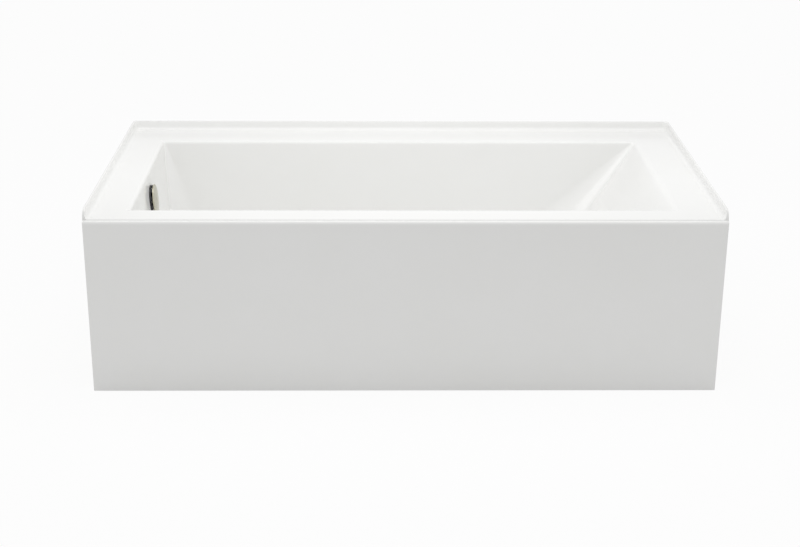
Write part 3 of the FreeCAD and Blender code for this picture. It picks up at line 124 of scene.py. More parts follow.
def outline(ring):
    """A closed loop of stations through six key points: straight walls, fans as arcs, rounded creases."""
    flip = np.array([1.0, -1.0, 1.0])
    (drain_start, drain_middle, drain_crease), (rest_start, rest_middle, rest_crease) = ring

    def corner(start, middle, crease, wall_way, leaving):
        """The fan and its crease, rounded over CREASE or less; leaving is True where the wall comes first."""
        chord = np.linalg.norm(crease - start)
        reach = min(CREASE, 0.35 * chord)
        share = 1 - reach / (1.02 * chord)
        fan = arc(start, middle, crease, FAN * share)
        wall = crease + wall_way * reach
        bend = BEND[:, None]
        bent = (1 - bend) ** 2 * fan[-1] + 2 * bend * (1 - bend) * crease + bend ** 2 * wall
        loop = np.concatenate([fan, bent])
        return (loop[::-1] if leaving else loop), wall

    def line(p, q, t):
        """Points at shares t of the straight from p to q."""
        return p + (q - p) * t[:, None]

    ahead = np.array([0.0, 1.0, 0.0])
    a, a_wall = corner(rest_start * flip, rest_middle * flip, rest_crease * flip, ahead, False)
    b, b_wall = corner(rest_start, rest_middle, rest_crease, -ahead, True)
    c, c_wall = corner(drain_start, drain_middle, drain_crease, -ahead, False)
    d, d_wall = corner(drain_start * flip, drain_middle * flip, drain_crease * flip, ahead, True)
    parts = [line(drain_start * flip, rest_start * flip, LONG), a, line(a_wall, b_wall, END), b,
             line(rest_start, drain_start, LONG), c, line(c_wall, d_wall, 1 - END[::-1]), d]
    loop = np.concatenate(parts)
    loop[:, 1] += BASIN_Y
    return loop


def outer_loop(inset):
    """The bath's rectangle drawn in by inset, on the same stations, with its corners rounded."""
    x, y = HALF_LENGTH - inset, HALF_WIDTH - inset
    front = max(APRON_CORNER - inset, 0.4)
    if inset < FLANGE_WALL:
        back = FLANGE_OUTER_CORNER + (FLANGE_INNER_CORNER - FLANGE_OUTER_CORNER) * inset / FLANGE_WALL
    else:
        back = max(FLANGE_INNER_CORNER - (inset - FLANGE_WALL), 0.5)

    def turn(radius, reach, far):
        """A right-hand corner at the origin, as distances (before it, past it): straight, arc, straight."""
        angle = np.linspace(0, math.pi / 2, 8)
        near = np.linspace(reach, radius, 7)[:-1]
        before = np.concatenate([near, radius - radius * np.sin(angle), np.zeros(len(far))])
        past = np.concatenate([np.zeros(len(near)), radius - radius * np.cos(angle), far])
        return before, past

    reach = CORNER_REACH - inset
    spread = np.linspace(0, 1, len(FRONT_PLACES) + 1)[1:]
    before, past = turn(front, reach, np.maximum(FRONT_PLACES - inset, front + 0.6 * spread))
    before_back, past_back = turn(back, reach, back + (reach - back) * spread ** 1.7)
    front_right = np.stack([x - before, -y + past], 1)
    front_left = front_right[::-1] * (-1, 1)
    back_right = np.stack([x - past_back, y - before_back], 1)
    back_left = back_right[::-1] * (-1, 1)
    side_y = np.clip(END_Y, -y + reach, y - reach)
    along = (x - reach) * (2 * LONG - 1)
    return np.concatenate([
        np.stack([along, np.full_like(along, -y)], 1), front_right,
        np.stack([np.full_like(side_y, x), side_y], 1), back_right,
        np.stack([-along, np.full_like(along, y)], 1), back_left,
        np.stack([np.full_like(side_y, -x), side_y[::-1]], 1), front_left,
    ])


def held_down(y, z):
    """Height kept under the front edge's quarter round and the quarter round that ends the flange."""
    edge = np.clip(-HALF_WIDTH + FRONT_EDGE - y, 0, FRONT_EDGE)
    rounded = DECK - FRONT_EDGE + np.sqrt(FRONT_EDGE ** 2 - edge ** 2)
    back = np.clip(FLANGE_START + FLANGE_END_RADIUS - y, 0, FLANGE_END_RADIUS)
    flange = TOP - FLANGE_END_RADIUS + np.sqrt(FLANGE_END_RADIUS ** 2 - back ** 2)
    limit = np.where(y < FLANGE_START, DECK, flange)
    return np.minimum(z, np.where(y < -HALF_WIDTH + FRONT_EDGE, rounded, limit))


def flange_row(inset, height):
    """The rectangle drawn in by inset, at one height, but kept under the rounded front."""
    plan = outer_loop(inset)
    return np.column_stack([plan, held_down(plan[:, 1], np.full(len(plan), height))])


def sheet_rows():
    """The sheet's section as loops of stations: up and over the flange, deck, basin, drain hole and back."""
    quarter = np.linspace(0, math.pi / 2, 5)
    rows = [flange_row(0, z) for z in (DECK - SKIN, DECK, DECK + 8, DECK + 16, TOP - FLANGE_EDGE - 1)]
    rows += [flange_row(FLANGE_EDGE * (1 - math.cos(a)), TOP - FLANGE_EDGE * (1 - math.sin(a)))
             for a in quarter]
    rows += [flange_row(FLANGE_WALL - FLANGE_EDGE * (1 - math.cos(a)), TOP - FLANGE_EDGE * (1 - math.sin(a)))
             for a in quarter[::-1]]
    cove = np.linspace(0, math.pi / 2, 9)
    rows += [flange_row(FLANGE_WALL + FLANGE_COVE * (1 - math.cos(a)), DECK + FLANGE_COVE * (1 - math.sin(a)))
             for a in cove]

    rim = blended(level_ring(0, RIM_ROLL), level_ring(0, 0), level_ring(RIM_ROLL, 0), np.linspace(0, 1, 8))
    outer, inner = rows[-1], outline(rim[0])
    rows += [outer + (inner - outer) * t for t in (0.03, 0.12, 0.35, 0.65, 0.88, 0.97)]
    rows += [outline(ring) for ring in rim]
    foot = blended(floor_ring(FLOOR_COVE, 0), floor_ring(0, 0), floor_ring(0, 0, FLOOR_COVE),
                   np.linspace(0, 1, 10))
    top, bottom = outline(rim[-1]), outline(foot[0])
    rows += [top + (bottom - top) * t for t in np.linspace(0, 1, 44)[1:-1]]
    rows += [outline(ring) for ring in foot]

    def drain_loop(around, radius, height, fall=0.0):
        """A circle about the drain, on the bearings at which the drain sees the given loop."""
        away = around[:, :2] - (DRAIN_X, BASIN_Y)
        plan = away / np.linalg.norm(away, axis=1)[:, None] * radius + (DRAIN_X, BASIN_Y)
        return np.column_stack([plan, height + fall * (plan[:, 0] - DRAIN_X)])

    floor = rows[-1]
    lip = drain_loop(floor, RECESS_RADIUS + RECESS_SLOPE, FLOOR, FLOOR_FALL)
    rows += [floor + (lip - floor) * t for t in (0.04, 0.15, 0.4, 0.7, 0.92, 1.0)]
    low = FLOOR - RECESS_DEPTH
    rows += [drain_loop(floor, radius, height) for radius, height in (
        (RECESS_RADIUS + RECESS_EASE, low + RECESS_EASE), (RECESS_RADIUS - RECESS_EASE, low),
        (DRAIN_HOLE, low), (DRAIN_HOLE, low - SKIN), (RECESS_RADIUS + SKIN, low - SKIN),
        (RECESS_RADIUS + RECESS_SLOPE + SKIN, FLOOR - SKIN))]
    under = blended(floor_ring(0, SKIN, FLOOR_COVE + SKIN), floor_ring(0, SKIN),
                    floor_ring(FLOOR_COVE + SKIN, SKIN), np.linspace(0, 1, 8))
    rows += [outline(ring) for ring in under]
    rows.append(outline(level_ring(SKIN, SKIN)))
    rows.append(flange_row(SKIN, DECK - SKIN))
    return np.array(rows)


def grid_mesh(name, rows):
    """A closed grid: each row joins the next and the last joins the first, and so do the stations."""
    count, stations = rows.shape[:2]
    index = np.arange(count * stations).reshape(count, stations)
    down, along = np.roll(index, -1, 0), np.roll(index, -1, 1)
    faces = np.stack([index, along, np.roll(down, -1, 1), down], -1).reshape(-1, 4)
    mesh = bpy.data.meshes.new(name)
    mesh.from_pydata((rows.reshape(-1, 3) / 1000).tolist(), [], faces.tolist())
    return mesh


def closed_up(mesh, reach=2e-5):
    """Merges doubled points, drops what has no area, and turns every face outwards."""
    work = bmesh.new()
    work.from_mesh(mesh)
    bmesh.ops.remove_doubles(work, verts=work.verts, dist=reach)
    bmesh.ops.dissolve_degenerate(work, edges=work.edges, dist=reach)
    bmesh.ops.recalc_face_normals(work, faces=work.faces)
    work.to_mesh(mesh)
    work.free()


def smoothed(mesh, angle):
    """Shades a mesh smooth except at edges sharper than the angle, in degrees."""
    mesh.polygons.foreach_set("use_smooth", np.ones(len(mesh.polygons), bool))
    mesh.set_sharp_from_angle(angle=math.radians(angle))


def piece(name, mesh, body="bath"):
    """A new object with this mesh, which rides on one body."""
    made = bpy.data.objects.new(name, mesh)
    bpy.context.collection.objects.link(made)
    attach(made, body)
    return made


def linear(code):
    """An sRGB hex colour as linear red, green, blue and alpha."""
    share = np.array([int(code[place:place + 2], 16) for place in (1, 3, 5)]) / 255
    return (*np.where(share <= 0.04045, share / 12.92, ((share + 0.055) / 1.055) ** 2.4).tolist(), 1.0)


def add(tree, kind, feeds=None, **settings):
    """Adds one node to a tree: settings are its own, and feeds are values or outputs for its inputs."""
    made = tree.nodes.new(kind)
    for name, value in settings.items():
        setattr(made, name, value)
    for key, value in (feeds or {}).items():
        if isinstance(value, bpy.types.NodeSocket):
            tree.links.new(value, made.inputs[key])
        else:
            made.inputs[key].default_value = value
    return made


def blank(name):
    """An empty material, and its tree."""
    made = bpy.data.materials.new(name)
    made.use_nodes = True
    made.node_tree.nodes.clear()
    return made, made.node_tree


# Cast acrylic, drawn over a polished mould: it shines like glass, and the drawing leaves it very faintly wavy
acrylic, tree = blank("drawn_white_acrylic")
place = add(tree, "ShaderNodeTexCoord").outputs["Object"]
cloud = add(tree, "ShaderNodeTexNoise", {"Vector": place, "Scale": 1 / 0.16, "Detail": 2.0})
# The mix node keeps its colours in inputs 6 and 7, and the mixed colour in output 2
tint = add(tree, "ShaderNodeMix", {0: cloud.outputs["Fac"], 6: linear(ACRYLIC_WHITE),
                                   7: linear(ACRYLIC_DEEP)}, data_type="RGBA")
wave = add(tree, "ShaderNodeTexNoise", {"Vector": place, "Scale": 1 / 0.045, "Detail": 1.0})
ripple = add(tree, "ShaderNodeBump", {"Height": wave.outputs["Fac"], "Strength": 0.25, "Distance": 0.00012})
shader = add(tree, "ShaderNodeBsdfPrincipled", {
    "Base Color": tint.outputs[2], "Roughness": 0.14, "IOR": 1.49, "Normal": ripple.outputs["Normal"]})
add(tree, "ShaderNodeOutputMaterial", {"Surface": shader.outputs["BSDF"]})

sheet_mesh = grid_mesh("acrylic_sheet", sheet_rows())
closed_up(sheet_mesh)
sheet = piece("acrylic_sheet", sheet_mesh)

# The overflow's hole, cut square to the end wall after drawing
SAW_SIDES, SAW_REACH = 72, 25.0
angle = np.linspace(0, 2 * math.pi, SAW_SIDES + 1)[:-1]
circle = np.stack([OVERFLOW_HOLE * np.cos(angle), OVERFLOW_HOLE * np.sin(angle)], 1)
bit_mesh = bpy.data.meshes.new("hole_saw")
bit_points = np.concatenate([np.column_stack([circle, np.full(SAW_SIDES, level)])
                             for level in (-SAW_REACH, SAW_REACH)])
low = np.arange(SAW_SIDES)
high = low + SAW_SIDES
bit_faces = np.stack([low, np.roll(low, -1), np.roll(high, -1), high], 1).tolist()
bit_faces += [low[::-1].tolist(), high.tolist()]
bit_mesh.from_pydata((bit_points / 1000).tolist(), [], bit_faces)
bit = bpy.data.objects.new("hole_saw", bit_mesh)
bpy.context.collection.objects.link(bit)
bit_place = (Matrix.Translation(Vector((OVERFLOW_X, BASIN_Y, OVERFLOW_Z)) / 1000)
             @ Matrix.Rotation(math.pi / 2 - OVERFLOW_TILT, 4, "Y"))
bit.matrix_world = bit_place
cut = sheet.modifiers.new("overflow_hole", "BOOLEAN")
cut.operation, cut.solver, cut.object = "DIFFERENCE", "EXACT", bit
bpy.context.view_layer.update()
cut_mesh = bpy.data.meshes.new_from_object(sheet.evaluated_get(bpy.context.evaluated_depsgraph_get()))
sheet.modifiers.clear()
sheet.data = cut_mesh
bpy.data.objects.remove(bit)
smoothed(sheet.data, 40)
sheet.data.materials.clear()
sheet.data.materials.append(acrylic)

# ---- The apron ------------------------------------------------------------------------------------------
# The front of the same sheet, folded down flat from the deck's front edge, with a return at each end and a
# foot that lies on the floor.
# Lengths in this section are millimetres.

APRON_END_RETURN, APRON_FOOT_RETURN = 32.0, 22.0
# Stations of an end return, from the apron's face: close together under the front edge's quarter round
RETURN_PLACES = np.array([APRON_END_RETURN, 10.5, 9.0, 7.5, 6.0, 4.5, 4.01])


def apron_path(inset):
    """Plan of the apron from the left return's back edge, round the front, to the right one's."""
    x, y = HALF_LENGTH - inset, HALF_WIDTH - inset
    radius = max(APRON_CORNER - inset, 0.3)
    angle = np.linspace(0, math.pi / 2, 7)
    straight = np.maximum(RETURN_PLACES[::-1] - HALF_WIDTH, -y + radius + 0.01)
    right = np.concatenate([
        np.stack([x - radius + radius * np.sin(angle), -y + radius - radius * np.cos(angle)], 1),
        np.stack([np.full(len(straight), x), straight], 1)])
    middle = np.stack([np.linspace(-x + radius, x - radius, 49)[1:-1], np.full(47, -y)], 1)
    return np.concatenate([right[::-1] * (-1, 1), middle, right])


def apron_rows():
    """The outside from the foot up, then the inside back down."""
    outside, inside = apron_path(0), apron_path(SKIN)
    top = held_down(outside[:, 1], np.full(len(outside), DECK - SKIN))
    rows = [np.column_stack([outside, top * t]) for t in np.linspace(0, 1, 13)]
    rows += [np.column_stack([inside, top * t]) for t in np.linspace(1, 0, 5)]
    return np.array(rows)


rows = apron_rows()
count, stations = rows.shape[:2]
index = np.arange(count * stations).reshape(count, stations)
down = np.roll(index, -1, 0)
faces = np.stack([index[:, :-1], index[:, 1:], down[:, 1:], down[:, :-1]], -1).reshape(-1, 4).tolist()
faces += [index[:, 0].tolist(), index[::-1, -1].tolist()]
foot_end, foot_front, foot_back = HALF_LENGTH - SKIN, -HALF_WIDTH + SKIN, -HALF_WIDTH + APRON_FOOT_RETURN
foot = np.array([[x, y, z] for z in (0, SKIN) for x, y in (
    (-foot_end, foot_front), (foot_end, foot_front), (foot_end, foot_back), (-foot_end, foot_back))])
base = count * stations
faces += [[base + corner for corner in face] for face in (
    (3, 2, 1, 0), (4, 5, 6, 7), (0, 1, 5, 4), (1, 2, 6, 5), (2, 3, 7, 6), (3, 0, 4, 7))]
apron_mesh = bpy.data.meshes.new("acrylic_apron")
apron_mesh.from_pydata((np.concatenate([rows.reshape(-1, 3), foot]) / 1000).tolist(), [], faces)
closed_up(apron_mesh)
smoothed(apron_mesh, 40)
apron_mesh.materials.append(acrylic)
apron = piece("acrylic_apron", apron_mesh)
for made in (sheet, apron):
    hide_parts("bath_shell")

# ---- What stiffens the sheet ----------------------------------------------------------------------------
# Chopped glass strand and resin, sprayed on the back of the sheet and rolled down by hand.  It cures cream,
# with the strands showing and a rough, dimpled face.


def dressed(node, material, body="bath", sharp=32.0, eased=0.0):
    """A copy of a CAD node, merged and shaded smooth, with its edges eased by that many millimetres."""
    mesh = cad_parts[node].data.copy()
    work = bmesh.new()
    work.from_mesh(mesh)
    bmesh.ops.remove_doubles(work, verts=work.verts, dist=1e-6)
    work.to_mesh(mesh)
    work.free()
    smoothed(mesh, sharp)
    mesh.materials.clear()
    mesh.materials.append(material)
    made = piece(node + "_finished", mesh, body)
    if eased:
        bevel = made.modifiers.new("eased_edges", "BEVEL")
        bevel.width, bevel.segments, bevel.limit_method = eased / 1000, 2, "ANGLE"
        bevel.angle_limit, bevel.harden_normals = math.radians(sharp), True
    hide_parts(node)
    return made


laminate, tree = blank("sprayed_glass_fibre_laminate")
place = add(tree, "ShaderNodeTexCoord").outputs["Object"]
# Strands 25 to 50 mm long lie every way: two stretched waves of noise, crossed
lay = add(tree, "ShaderNodeMapping", {"Vector": place, "Scale": (18.0, 260.0, 90.0)})
strand = add(tree, "ShaderNodeTexNoise", {"Vector": lay.outputs["Vector"], "Scale": 1.0, "Detail": 3.0})
lay_across = add(tree, "ShaderNodeMapping", {"Vector": place, "Scale": (260.0, 18.0, 90.0),
                                             "Rotation": (0.3, 0.2, 0.7)})
strand_across = add(tree, "ShaderNodeTexNoise", {"Vector": lay_across.outputs["Vector"], "Scale": 1.0,
                                                 "Detail": 3.0})
crossed = add(tree, "ShaderNodeMath", {0: strand.outputs["Fac"], 1: strand_across.outputs["Fac"]},
              operation="MAXIMUM")
tone = add(tree, "ShaderNodeValToRGB", {"Fac": crossed.outputs["Value"]})
tone.color_ramp.elements[0].position, tone.color_ramp.elements[0].color = 0.42, linear("#cfc7ac")
tone.color_ramp.elements[1].position, tone.color_ramp.elements[1].color = 0.68, linear("#e9e4d2")
rough = add(tree, "ShaderNodeBump", {"Height": crossed.outputs["Value"], "Strength": 0.6, "Distance": 0.0012})
shader = add(tree, "ShaderNodeBsdfPrincipled", {"Base Color": tone.outputs["Color"], "Roughness": 0.55,
                                                "IOR": 1.54, "Normal": rough.outputs["Normal"]})
add(tree, "ShaderNodeOutputMaterial", {"Surface": shader.outputs["BSDF"]})
dressed("glass_fibre_backing", laminate)

# ---- The base board -------------------------------------------------------------------------------------
# Particle board, sawn to the basin's floor and bedded in the laminate.  Pressed chips a few millimetres long
# give it a speckled face.

board, tree = blank("raw_particle_board")
place = add(tree, "ShaderNodeTexCoord").outputs["Object"]
chips = add(tree, "ShaderNodeTexVoronoi", {"Vector": place, "Scale": 1 / 0.005, "Randomness": 1.0})
tone = add(tree, "ShaderNodeValToRGB", {"Fac": chips.outputs["Color"]})
tone.color_ramp.elements[0].position, tone.color_ramp.elements[0].color = 0.1, linear("#a98758")
tone.color_ramp.elements[1].position, tone.color_ramp.elements[1].color = 0.9, linear("#dcc294")
rough = add(tree, "ShaderNodeBump", {"Height": chips.outputs["Distance"], "Strength": 0.35,
                                     "Distance": 0.0004})
shader = add(tree, "ShaderNodeBsdfPrincipled", {"Base Color": tone.outputs["Color"], "Roughness": 0.8,
                                                "Normal": rough.outputs["Normal"]})
add(tree, "ShaderNodeOutputMaterial", {"Surface": shader.outputs["BSDF"]})
dressed("base_board", board, eased=0.5)

# ---- Feet and their screws ------------------------------------------------------------------------------
# Injection-moulded polypropylene cups, fine-grained and black, each held by one stainless wood screw.

polypropylene, tree = blank("moulded_black_polypropylene")
place = add(tree, "ShaderNodeTexCoord").outputs["Object"]
grain = add(tree, "ShaderNodeTexNoise", {"Vector": place, "Scale": 1 / 0.0012, "Detail": 2.0})
rough = add(tree, "ShaderNodeBump", {"Height": grain.outputs["Fac"], "Strength": 0.3, "Distance": 0.00015})
shader = add(tree, "ShaderNodeBsdfPrincipled", {"Base Color": linear("#2b2b2d"), "Roughness": 0.5,
                                                "IOR": 1.49, "Normal": rough.outputs["Normal"]})
add(tree, "ShaderNodeOutputMaterial", {"Surface": shader.outputs["BSDF"]})
dressed("support_feet", polypropylene, eased=0.4)

stainless, tree = blank("turned_stainless_steel")
place = add(tree, "ShaderNodeTexCoord").outputs["Object"]
marks = add(tree, "ShaderNodeTexNoise", {"Vector": place, "Scale": 1 / 0.0008, "Detail": 1.0})
spread = add(tree, "ShaderNodeMapRange", {"Value": marks.outputs["Fac"], "To Min": 0.22, "To Max": 0.38})
shader = add(tree, "ShaderNodeBsdfPrincipled", {"Base Color": linear("#c9c8c5"), "Metallic": 1.0,
                                                "Roughness": spread.outputs["Result"]})
add(tree, "ShaderNodeOutputMaterial", {"Surface": shader.outputs["BSDF"]})
for node in ("foot_screws", "overflow_clamp_ring", "clamp_ring_screws", "lever_pin"):
    dressed(node, stainless, eased=0.15)
for node in ("handle_grub_screw", "spindle_clip"):
    dressed(node, stainless, "handle", eased=0.1)

# ---- Battens behind the apron ---------------------------------------------------------------------------
# Planed pine, laid into the wet laminate: a rim batten, a foot rail and uprights, with the grain lengthwise.

for name, long_way, nodes in (
        ("planed_pine_lengthwise", (1.6, 60.0, 60.0), ("front_rim_batten", "apron_foot_rail")),
        ("planed_pine_upright", (60.0, 60.0, 1.6), ("apron_uprights",))):
    pine, tree = blank(name)
    place = add(tree, "ShaderNodeTexCoord").outputs["Object"]
    lay = add(tree, "ShaderNodeMapping", {"Vector": place, "Scale": long_way})
    rings = add(tree, "ShaderNodeTexNoise", {"Vector": lay.outputs["Vector"], "Scale": 2.0, "Detail": 4.0,
                                             "Distortion": 0.6})
    tone = add(tree, "ShaderNodeValToRGB", {"Fac": rings.outputs["Fac"]})
    tone.color_ramp.elements[0].position, tone.color_ramp.elements[0].color = 0.35, linear("#b98f57")
    tone.color_ramp.elements[1].position, tone.color_ramp.elements[1].color = 0.62, linear("#e3c58f")
    shader = add(tree, "ShaderNodeBsdfPrincipled", {"Base Color": tone.outputs["Color"], "Roughness": 0.6})
    add(tree, "ShaderNodeOutputMaterial", {"Surface": shader.outputs["BSDF"]})
    for node in nodes:
        dressed(node, pine, eased=0.8)

# ---- Waste pipes ----------------------------------------------------------------------------------------
# Black ABS, extruded as pipe and injection moulded as fittings, joined by slip nuts of off-white nylon over
# soft polyethylene washers.

abs_black, tree = blank("smooth_black_abs")
place = add(tree, "ShaderNodeTexCoord").outputs["Object"]
flow = add(tree, "ShaderNodeTexNoise", {"Vector": place, "Scale": 1 / 0.012, "Detail": 2.0})
spread = add(tree, "ShaderNodeMapRange", {"Value": flow.outputs["Fac"], "To Min": 0.28, "To Max": 0.4})
shader = add(tree, "ShaderNodeBsdfPrincipled", {"Base Color": linear("#1a1a1b"), "IOR": 1.53,
                                                "Roughness": spread.outputs["Result"]})
add(tree, "ShaderNodeOutputMaterial", {"Surface": shader.outputs["BSDF"]})
for node in ("waste_tee", "overflow_riser", "shoe_pipe", "drain_shoe", "overflow_body"):
    dressed(node, abs_black)

nylon, tree = blank("moulded_off_white_nylon")
place = add(tree, "ShaderNodeTexCoord").outputs["Object"]
grain = add(tree, "ShaderNodeTexNoise", {"Vector": place, "Scale": 1 / 0.0015, "Detail": 1.0})
rough = add(tree, "ShaderNodeBump", {"Height": grain.outputs["Fac"], "Strength": 0.2, "Distance": 0.0001})
shader = add(tree, "ShaderNodeBsdfPrincipled", {"Base Color": linear("#deddd6"), "Roughness": 0.42,
                                                "IOR": 1.53, "Normal": rough.outputs["Normal"]})
add(tree, "ShaderNodeOutputMaterial", {"Surface": shader.outputs["BSDF"]})
for node in ("tee_top_nut", "overflow_outlet_nut", "tee_branch_nut"):
    dressed(node, nylon, eased=0.3)
for node in ("tee_top_washer", "overflow_outlet_washer", "tee_branch_washer"):
    dressed(node, nylon)

# ---- Seals ----------------------------------------------------------------------------------------------
# Moulded EPDM rubber, dull black with a slight bloom.

rubber, tree = blank("moulded_epdm_rubber")
place = add(tree, "ShaderNodeTexCoord").outputs["Object"]
bloom = add(tree, "ShaderNodeTexNoise", {"Vector": place, "Scale": 1 / 0.008, "Detail": 3.0})
tone = add(tree, "ShaderNodeValToRGB", {"Fac": bloom.outputs["Fac"]})
tone.color_ramp.elements[0].color, tone.color_ramp.elements[1].color = linear("#191919"), linear("#2c2b2a")
shader = add(tree, "ShaderNodeBsdfPrincipled", {"Base Color": tone.outputs["Color"], "Roughness": 0.72,
                                                "IOR": 1.52})
add(tree, "ShaderNodeOutputMaterial", {"Surface": shader.outputs["BSDF"]})
for node in ("drain_flange_seal", "drain_gasket", "overflow_gasket"):
    dressed(node, rubber)
dressed("stopper_seal", rubber, "stopper")
dressed("cable_sheath", rubber)

# ---- Brass pieces ---------------------------------------------------------------------------------------
# Turned from bar and left bright, with fine tool marks.

brass, tree = blank("turned_brass")
place = add(tree, "ShaderNodeTexCoord").outputs["Object"]
marks = add(tree, "ShaderNodeTexNoise", {"Vector": place, "Scale": 1 / 0.001, "Detail": 1.0})
spread = add(tree, "ShaderNodeMapRange", {"Value": marks.outputs["Fac"], "To Min": 0.2, "To Max": 0.36})
shader = add(tree, "ShaderNodeBsdfPrincipled", {"Base Color": linear("#d3a95c"), "Metallic": 1.0,
                                                "Roughness": spread.outputs["Result"]})
add(tree, "ShaderNodeOutputMaterial", {"Surface": shader.outputs["BSDF"]})
dressed("cable_glands", brass, eased=0.2)
dressed("overflow_spindle", brass, "handle", eased=0.15)
dressed("lift_lever", brass, "lever", eased=0.2)
dressed("stopper_stem", brass, "stopper")
dressed("stem_lock_nut", brass, "stopper", eased=0.2)

# ---- Overflow and drain trim ----------------------------------------------------------------------------
# Polished brass plated with warm nickel: the handle, the drain flange and the stopper.  The handle stands
# off the wall on a slotted ring of black polypropylene, whose black is also painted shade: it stands in for
# the dark gap between the handle and the wall.

nickel, tree = blank("polished_nickel_plate")
place = add(tree, "ShaderNodeTexCoord").outputs["Object"]
haze = add(tree, "ShaderNodeTexNoise", {"Vector": place, "Scale": 1 / 0.006, "Detail": 2.0})
spread = add(tree, "ShaderNodeMapRange", {"Value": haze.outputs["Fac"], "To Min": 0.09, "To Max": 0.17})
shader = add(tree, "ShaderNodeBsdfPrincipled", {"Base Color": linear("#bfbca8"), "Metallic": 1.0,
                                                "Roughness": spread.outputs["Result"]})
add(tree, "ShaderNodeOutputMaterial", {"Surface": shader.outputs["BSDF"]})
dressed("drain_flange", nickel, eased=0.2)
dressed("stopper_cap", nickel, "stopper", eased=0.3)
dressed("overflow_handle", nickel, "handle", eased=0.2)

# The ring that the handle stands off by: its skirt goes over the clamp ring to the wall, and ten slots in its
# rim let the water in.  A closed section of (radius, height), in millimetres, turned about the overflow's
# axis; the rim's height is top - depth where the angle lies in a slot, and slopes over the slot's edge.
RING_OUTER, RING_INNER, RING_SKIRT, RING_STEP, RING_TOP, RING_FOOT = 37.2, 32.5, 36.2, 2.15, 7.6, 0.1
SLOTS, SLOT_WIDTH, SLOT_DEPTH, SLOT_EDGE = 10, 12.0, 3.6, 0.4
angle = np.linspace(0, 2 * math.pi, 481)[:-1]
from_slot = np.abs((angle * SLOTS / (2 * math.pi)) % 1 - 0.5) * 2 * math.pi / SLOTS * RING_OUTER
rim = RING_TOP - SLOT_DEPTH * np.clip((SLOT_WIDTH / 2 + SLOT_EDGE / 2 - from_slot) / SLOT_EDGE, 0, 1)
section = [(RING_SKIRT, RING_FOOT), (RING_OUTER, RING_FOOT), (RING_OUTER, None), (RING_INNER, None),
           (RING_INNER, RING_STEP), (RING_SKIRT, RING_STEP)]
rows = np.array([np.column_stack([radius * np.cos(angle), radius * np.sin(angle),
                                  rim if height is None else np.full(len(angle), height)])
                 for radius, height in section])
ring_mesh = grid_mesh("intake_ring", rows)
ring_mesh.transform(bit_place)
closed_up(ring_mesh)
smoothed(ring_mesh, 32)
# Black: a real black moulding, and also painted shade for the dark gap between the handle and the wall
ring_mesh.materials.append(polypropylene)
ring = piece("intake_ring_finished", ring_mesh)
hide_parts("intake_ring")

# ---- Studio ---------------------------------------------------------------------------------------------
# A white floor and white surroundings, and the photograph's camera.  One soft light hangs over the basin,
# behind the plane of the apron, so the basin's walls come out lighter than the apron.

floor_white, tree = blank("studio_floor")
ray = add(tree, "ShaderNodeLightPath")
paper = add(tree, "ShaderNodeBsdfDiffuse", {"Color": linear("#f7f7f7")})
bright = add(tree, "ShaderNodeEmission", {"Color": linear("#ffffff"), "Strength": 1.0})
# The camera sees this much of the white, and for the rest the lit paper, which carries the bath's shadow
WHITE_SHARE = 0.93
share = add(tree, "ShaderNodeMath", {0: ray.outputs["Is Camera Ray"], 1: WHITE_SHARE}, operation="MULTIPLY")
mixed = add(tree, "ShaderNodeMixShader", {0: share.outputs["Value"], 1: paper.outputs["BSDF"],
                                          2: bright.outputs["Emission"]})
add(tree, "ShaderNodeOutputMaterial", {"Surface": mixed.outputs["Shader"]})
floor_mesh = bpy.data.meshes.new("studio_floor")
STUDIO_REACH = 9
floor_corners = [(STUDIO_REACH * x, STUDIO_REACH * y, 0) for x, y in ((-1, -1), (1, -1), (1, 1), (-1, 1))]
floor_mesh.from_pydata(floor_corners, [], [(0, 1, 2, 3)])
floor_mesh.materials.append(floor_white)
floor = bpy.data.objects.new("studio_floor", floor_mesh)
bpy.context.collection.objects.link(floor)

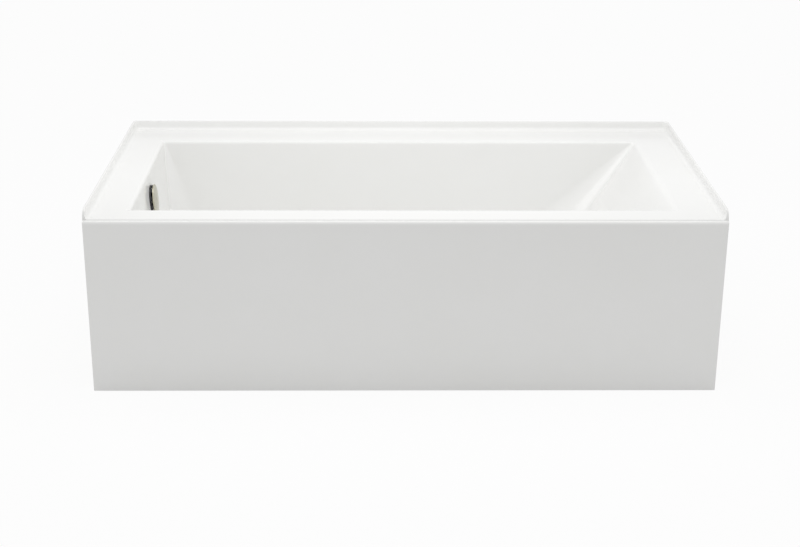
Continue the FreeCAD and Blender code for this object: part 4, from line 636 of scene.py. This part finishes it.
world = bpy.data.worlds.new("studio")
bpy.context.scene.world = world
world.use_nodes = True
tree = world.node_tree
tree.nodes.clear()
ray = add(tree, "ShaderNodeLightPath")
seen = add(tree, "ShaderNodeMath", {0: ray.outputs["Is Camera Ray"], 1: ray.outputs["Is Glossy Ray"]},
           operation="MAXIMUM")
seen = add(tree, "ShaderNodeMath", {0: seen.outputs["Value"], 1: ray.outputs["Is Transmission Ray"]},
           operation="MAXIMUM")
room = add(tree, "ShaderNodeBackground", {"Color": linear("#ffffff"), "Strength": 0.67})
white = add(tree, "ShaderNodeBackground", {"Color": linear("#fcfcfc"), "Strength": 1.0})
mixed = add(tree, "ShaderNodeMixShader", {0: seen.outputs["Value"], 1: room.outputs["Background"],
                                          2: white.outputs["Background"]})
add(tree, "ShaderNodeOutputWorld", {"Surface": mixed.outputs["Shader"]})

lamp = bpy.data.lights.new("overhead_softbox", "AREA")
lamp.shape, lamp.size, lamp.size_y, lamp.energy = "RECTANGLE", 2.0, 0.55, 6.5
softbox = bpy.data.objects.new("overhead_softbox", lamp)
bpy.context.collection.objects.link(softbox)
softbox.location = (0.0, -0.08, 1.42)

# The camera's place in metres, its turn, and its focal length in pixels of an 800 pixel wide picture
CAMERA_PLACE, FOCAL_PIXELS, PICTURE_PIXELS = (-0.068, -3.7595, 1.585), 1507, 800
PITCH, YAW, ROLL = math.radians(20.86), math.radians(-0.91), math.radians(0.33)
right = Vector((math.cos(YAW), math.sin(YAW), 0))
forward = Vector((-math.cos(PITCH) * math.sin(YAW), math.cos(PITCH) * math.cos(YAW), -math.sin(PITCH)))
upward = right.cross(forward)
right, upward = (math.cos(ROLL) * right + math.sin(ROLL) * upward,
                 -math.sin(ROLL) * right + math.cos(ROLL) * upward)
lens = bpy.data.cameras.new("studio_camera")
lens.sensor_width, lens.sensor_fit = 36.0, "HORIZONTAL"
lens.lens = FOCAL_PIXELS / PICTURE_PIXELS * lens.sensor_width
camera = bpy.data.objects.new("studio_camera", lens)
bpy.context.collection.objects.link(camera)
turned = Matrix((right, upward, -forward)).transposed().to_4x4()
camera.matrix_world = Matrix.Translation(CAMERA_PLACE) @ turned
bpy.context.scene.camera = camera
bpy.context.scene.view_settings.view_transform = "Standard"
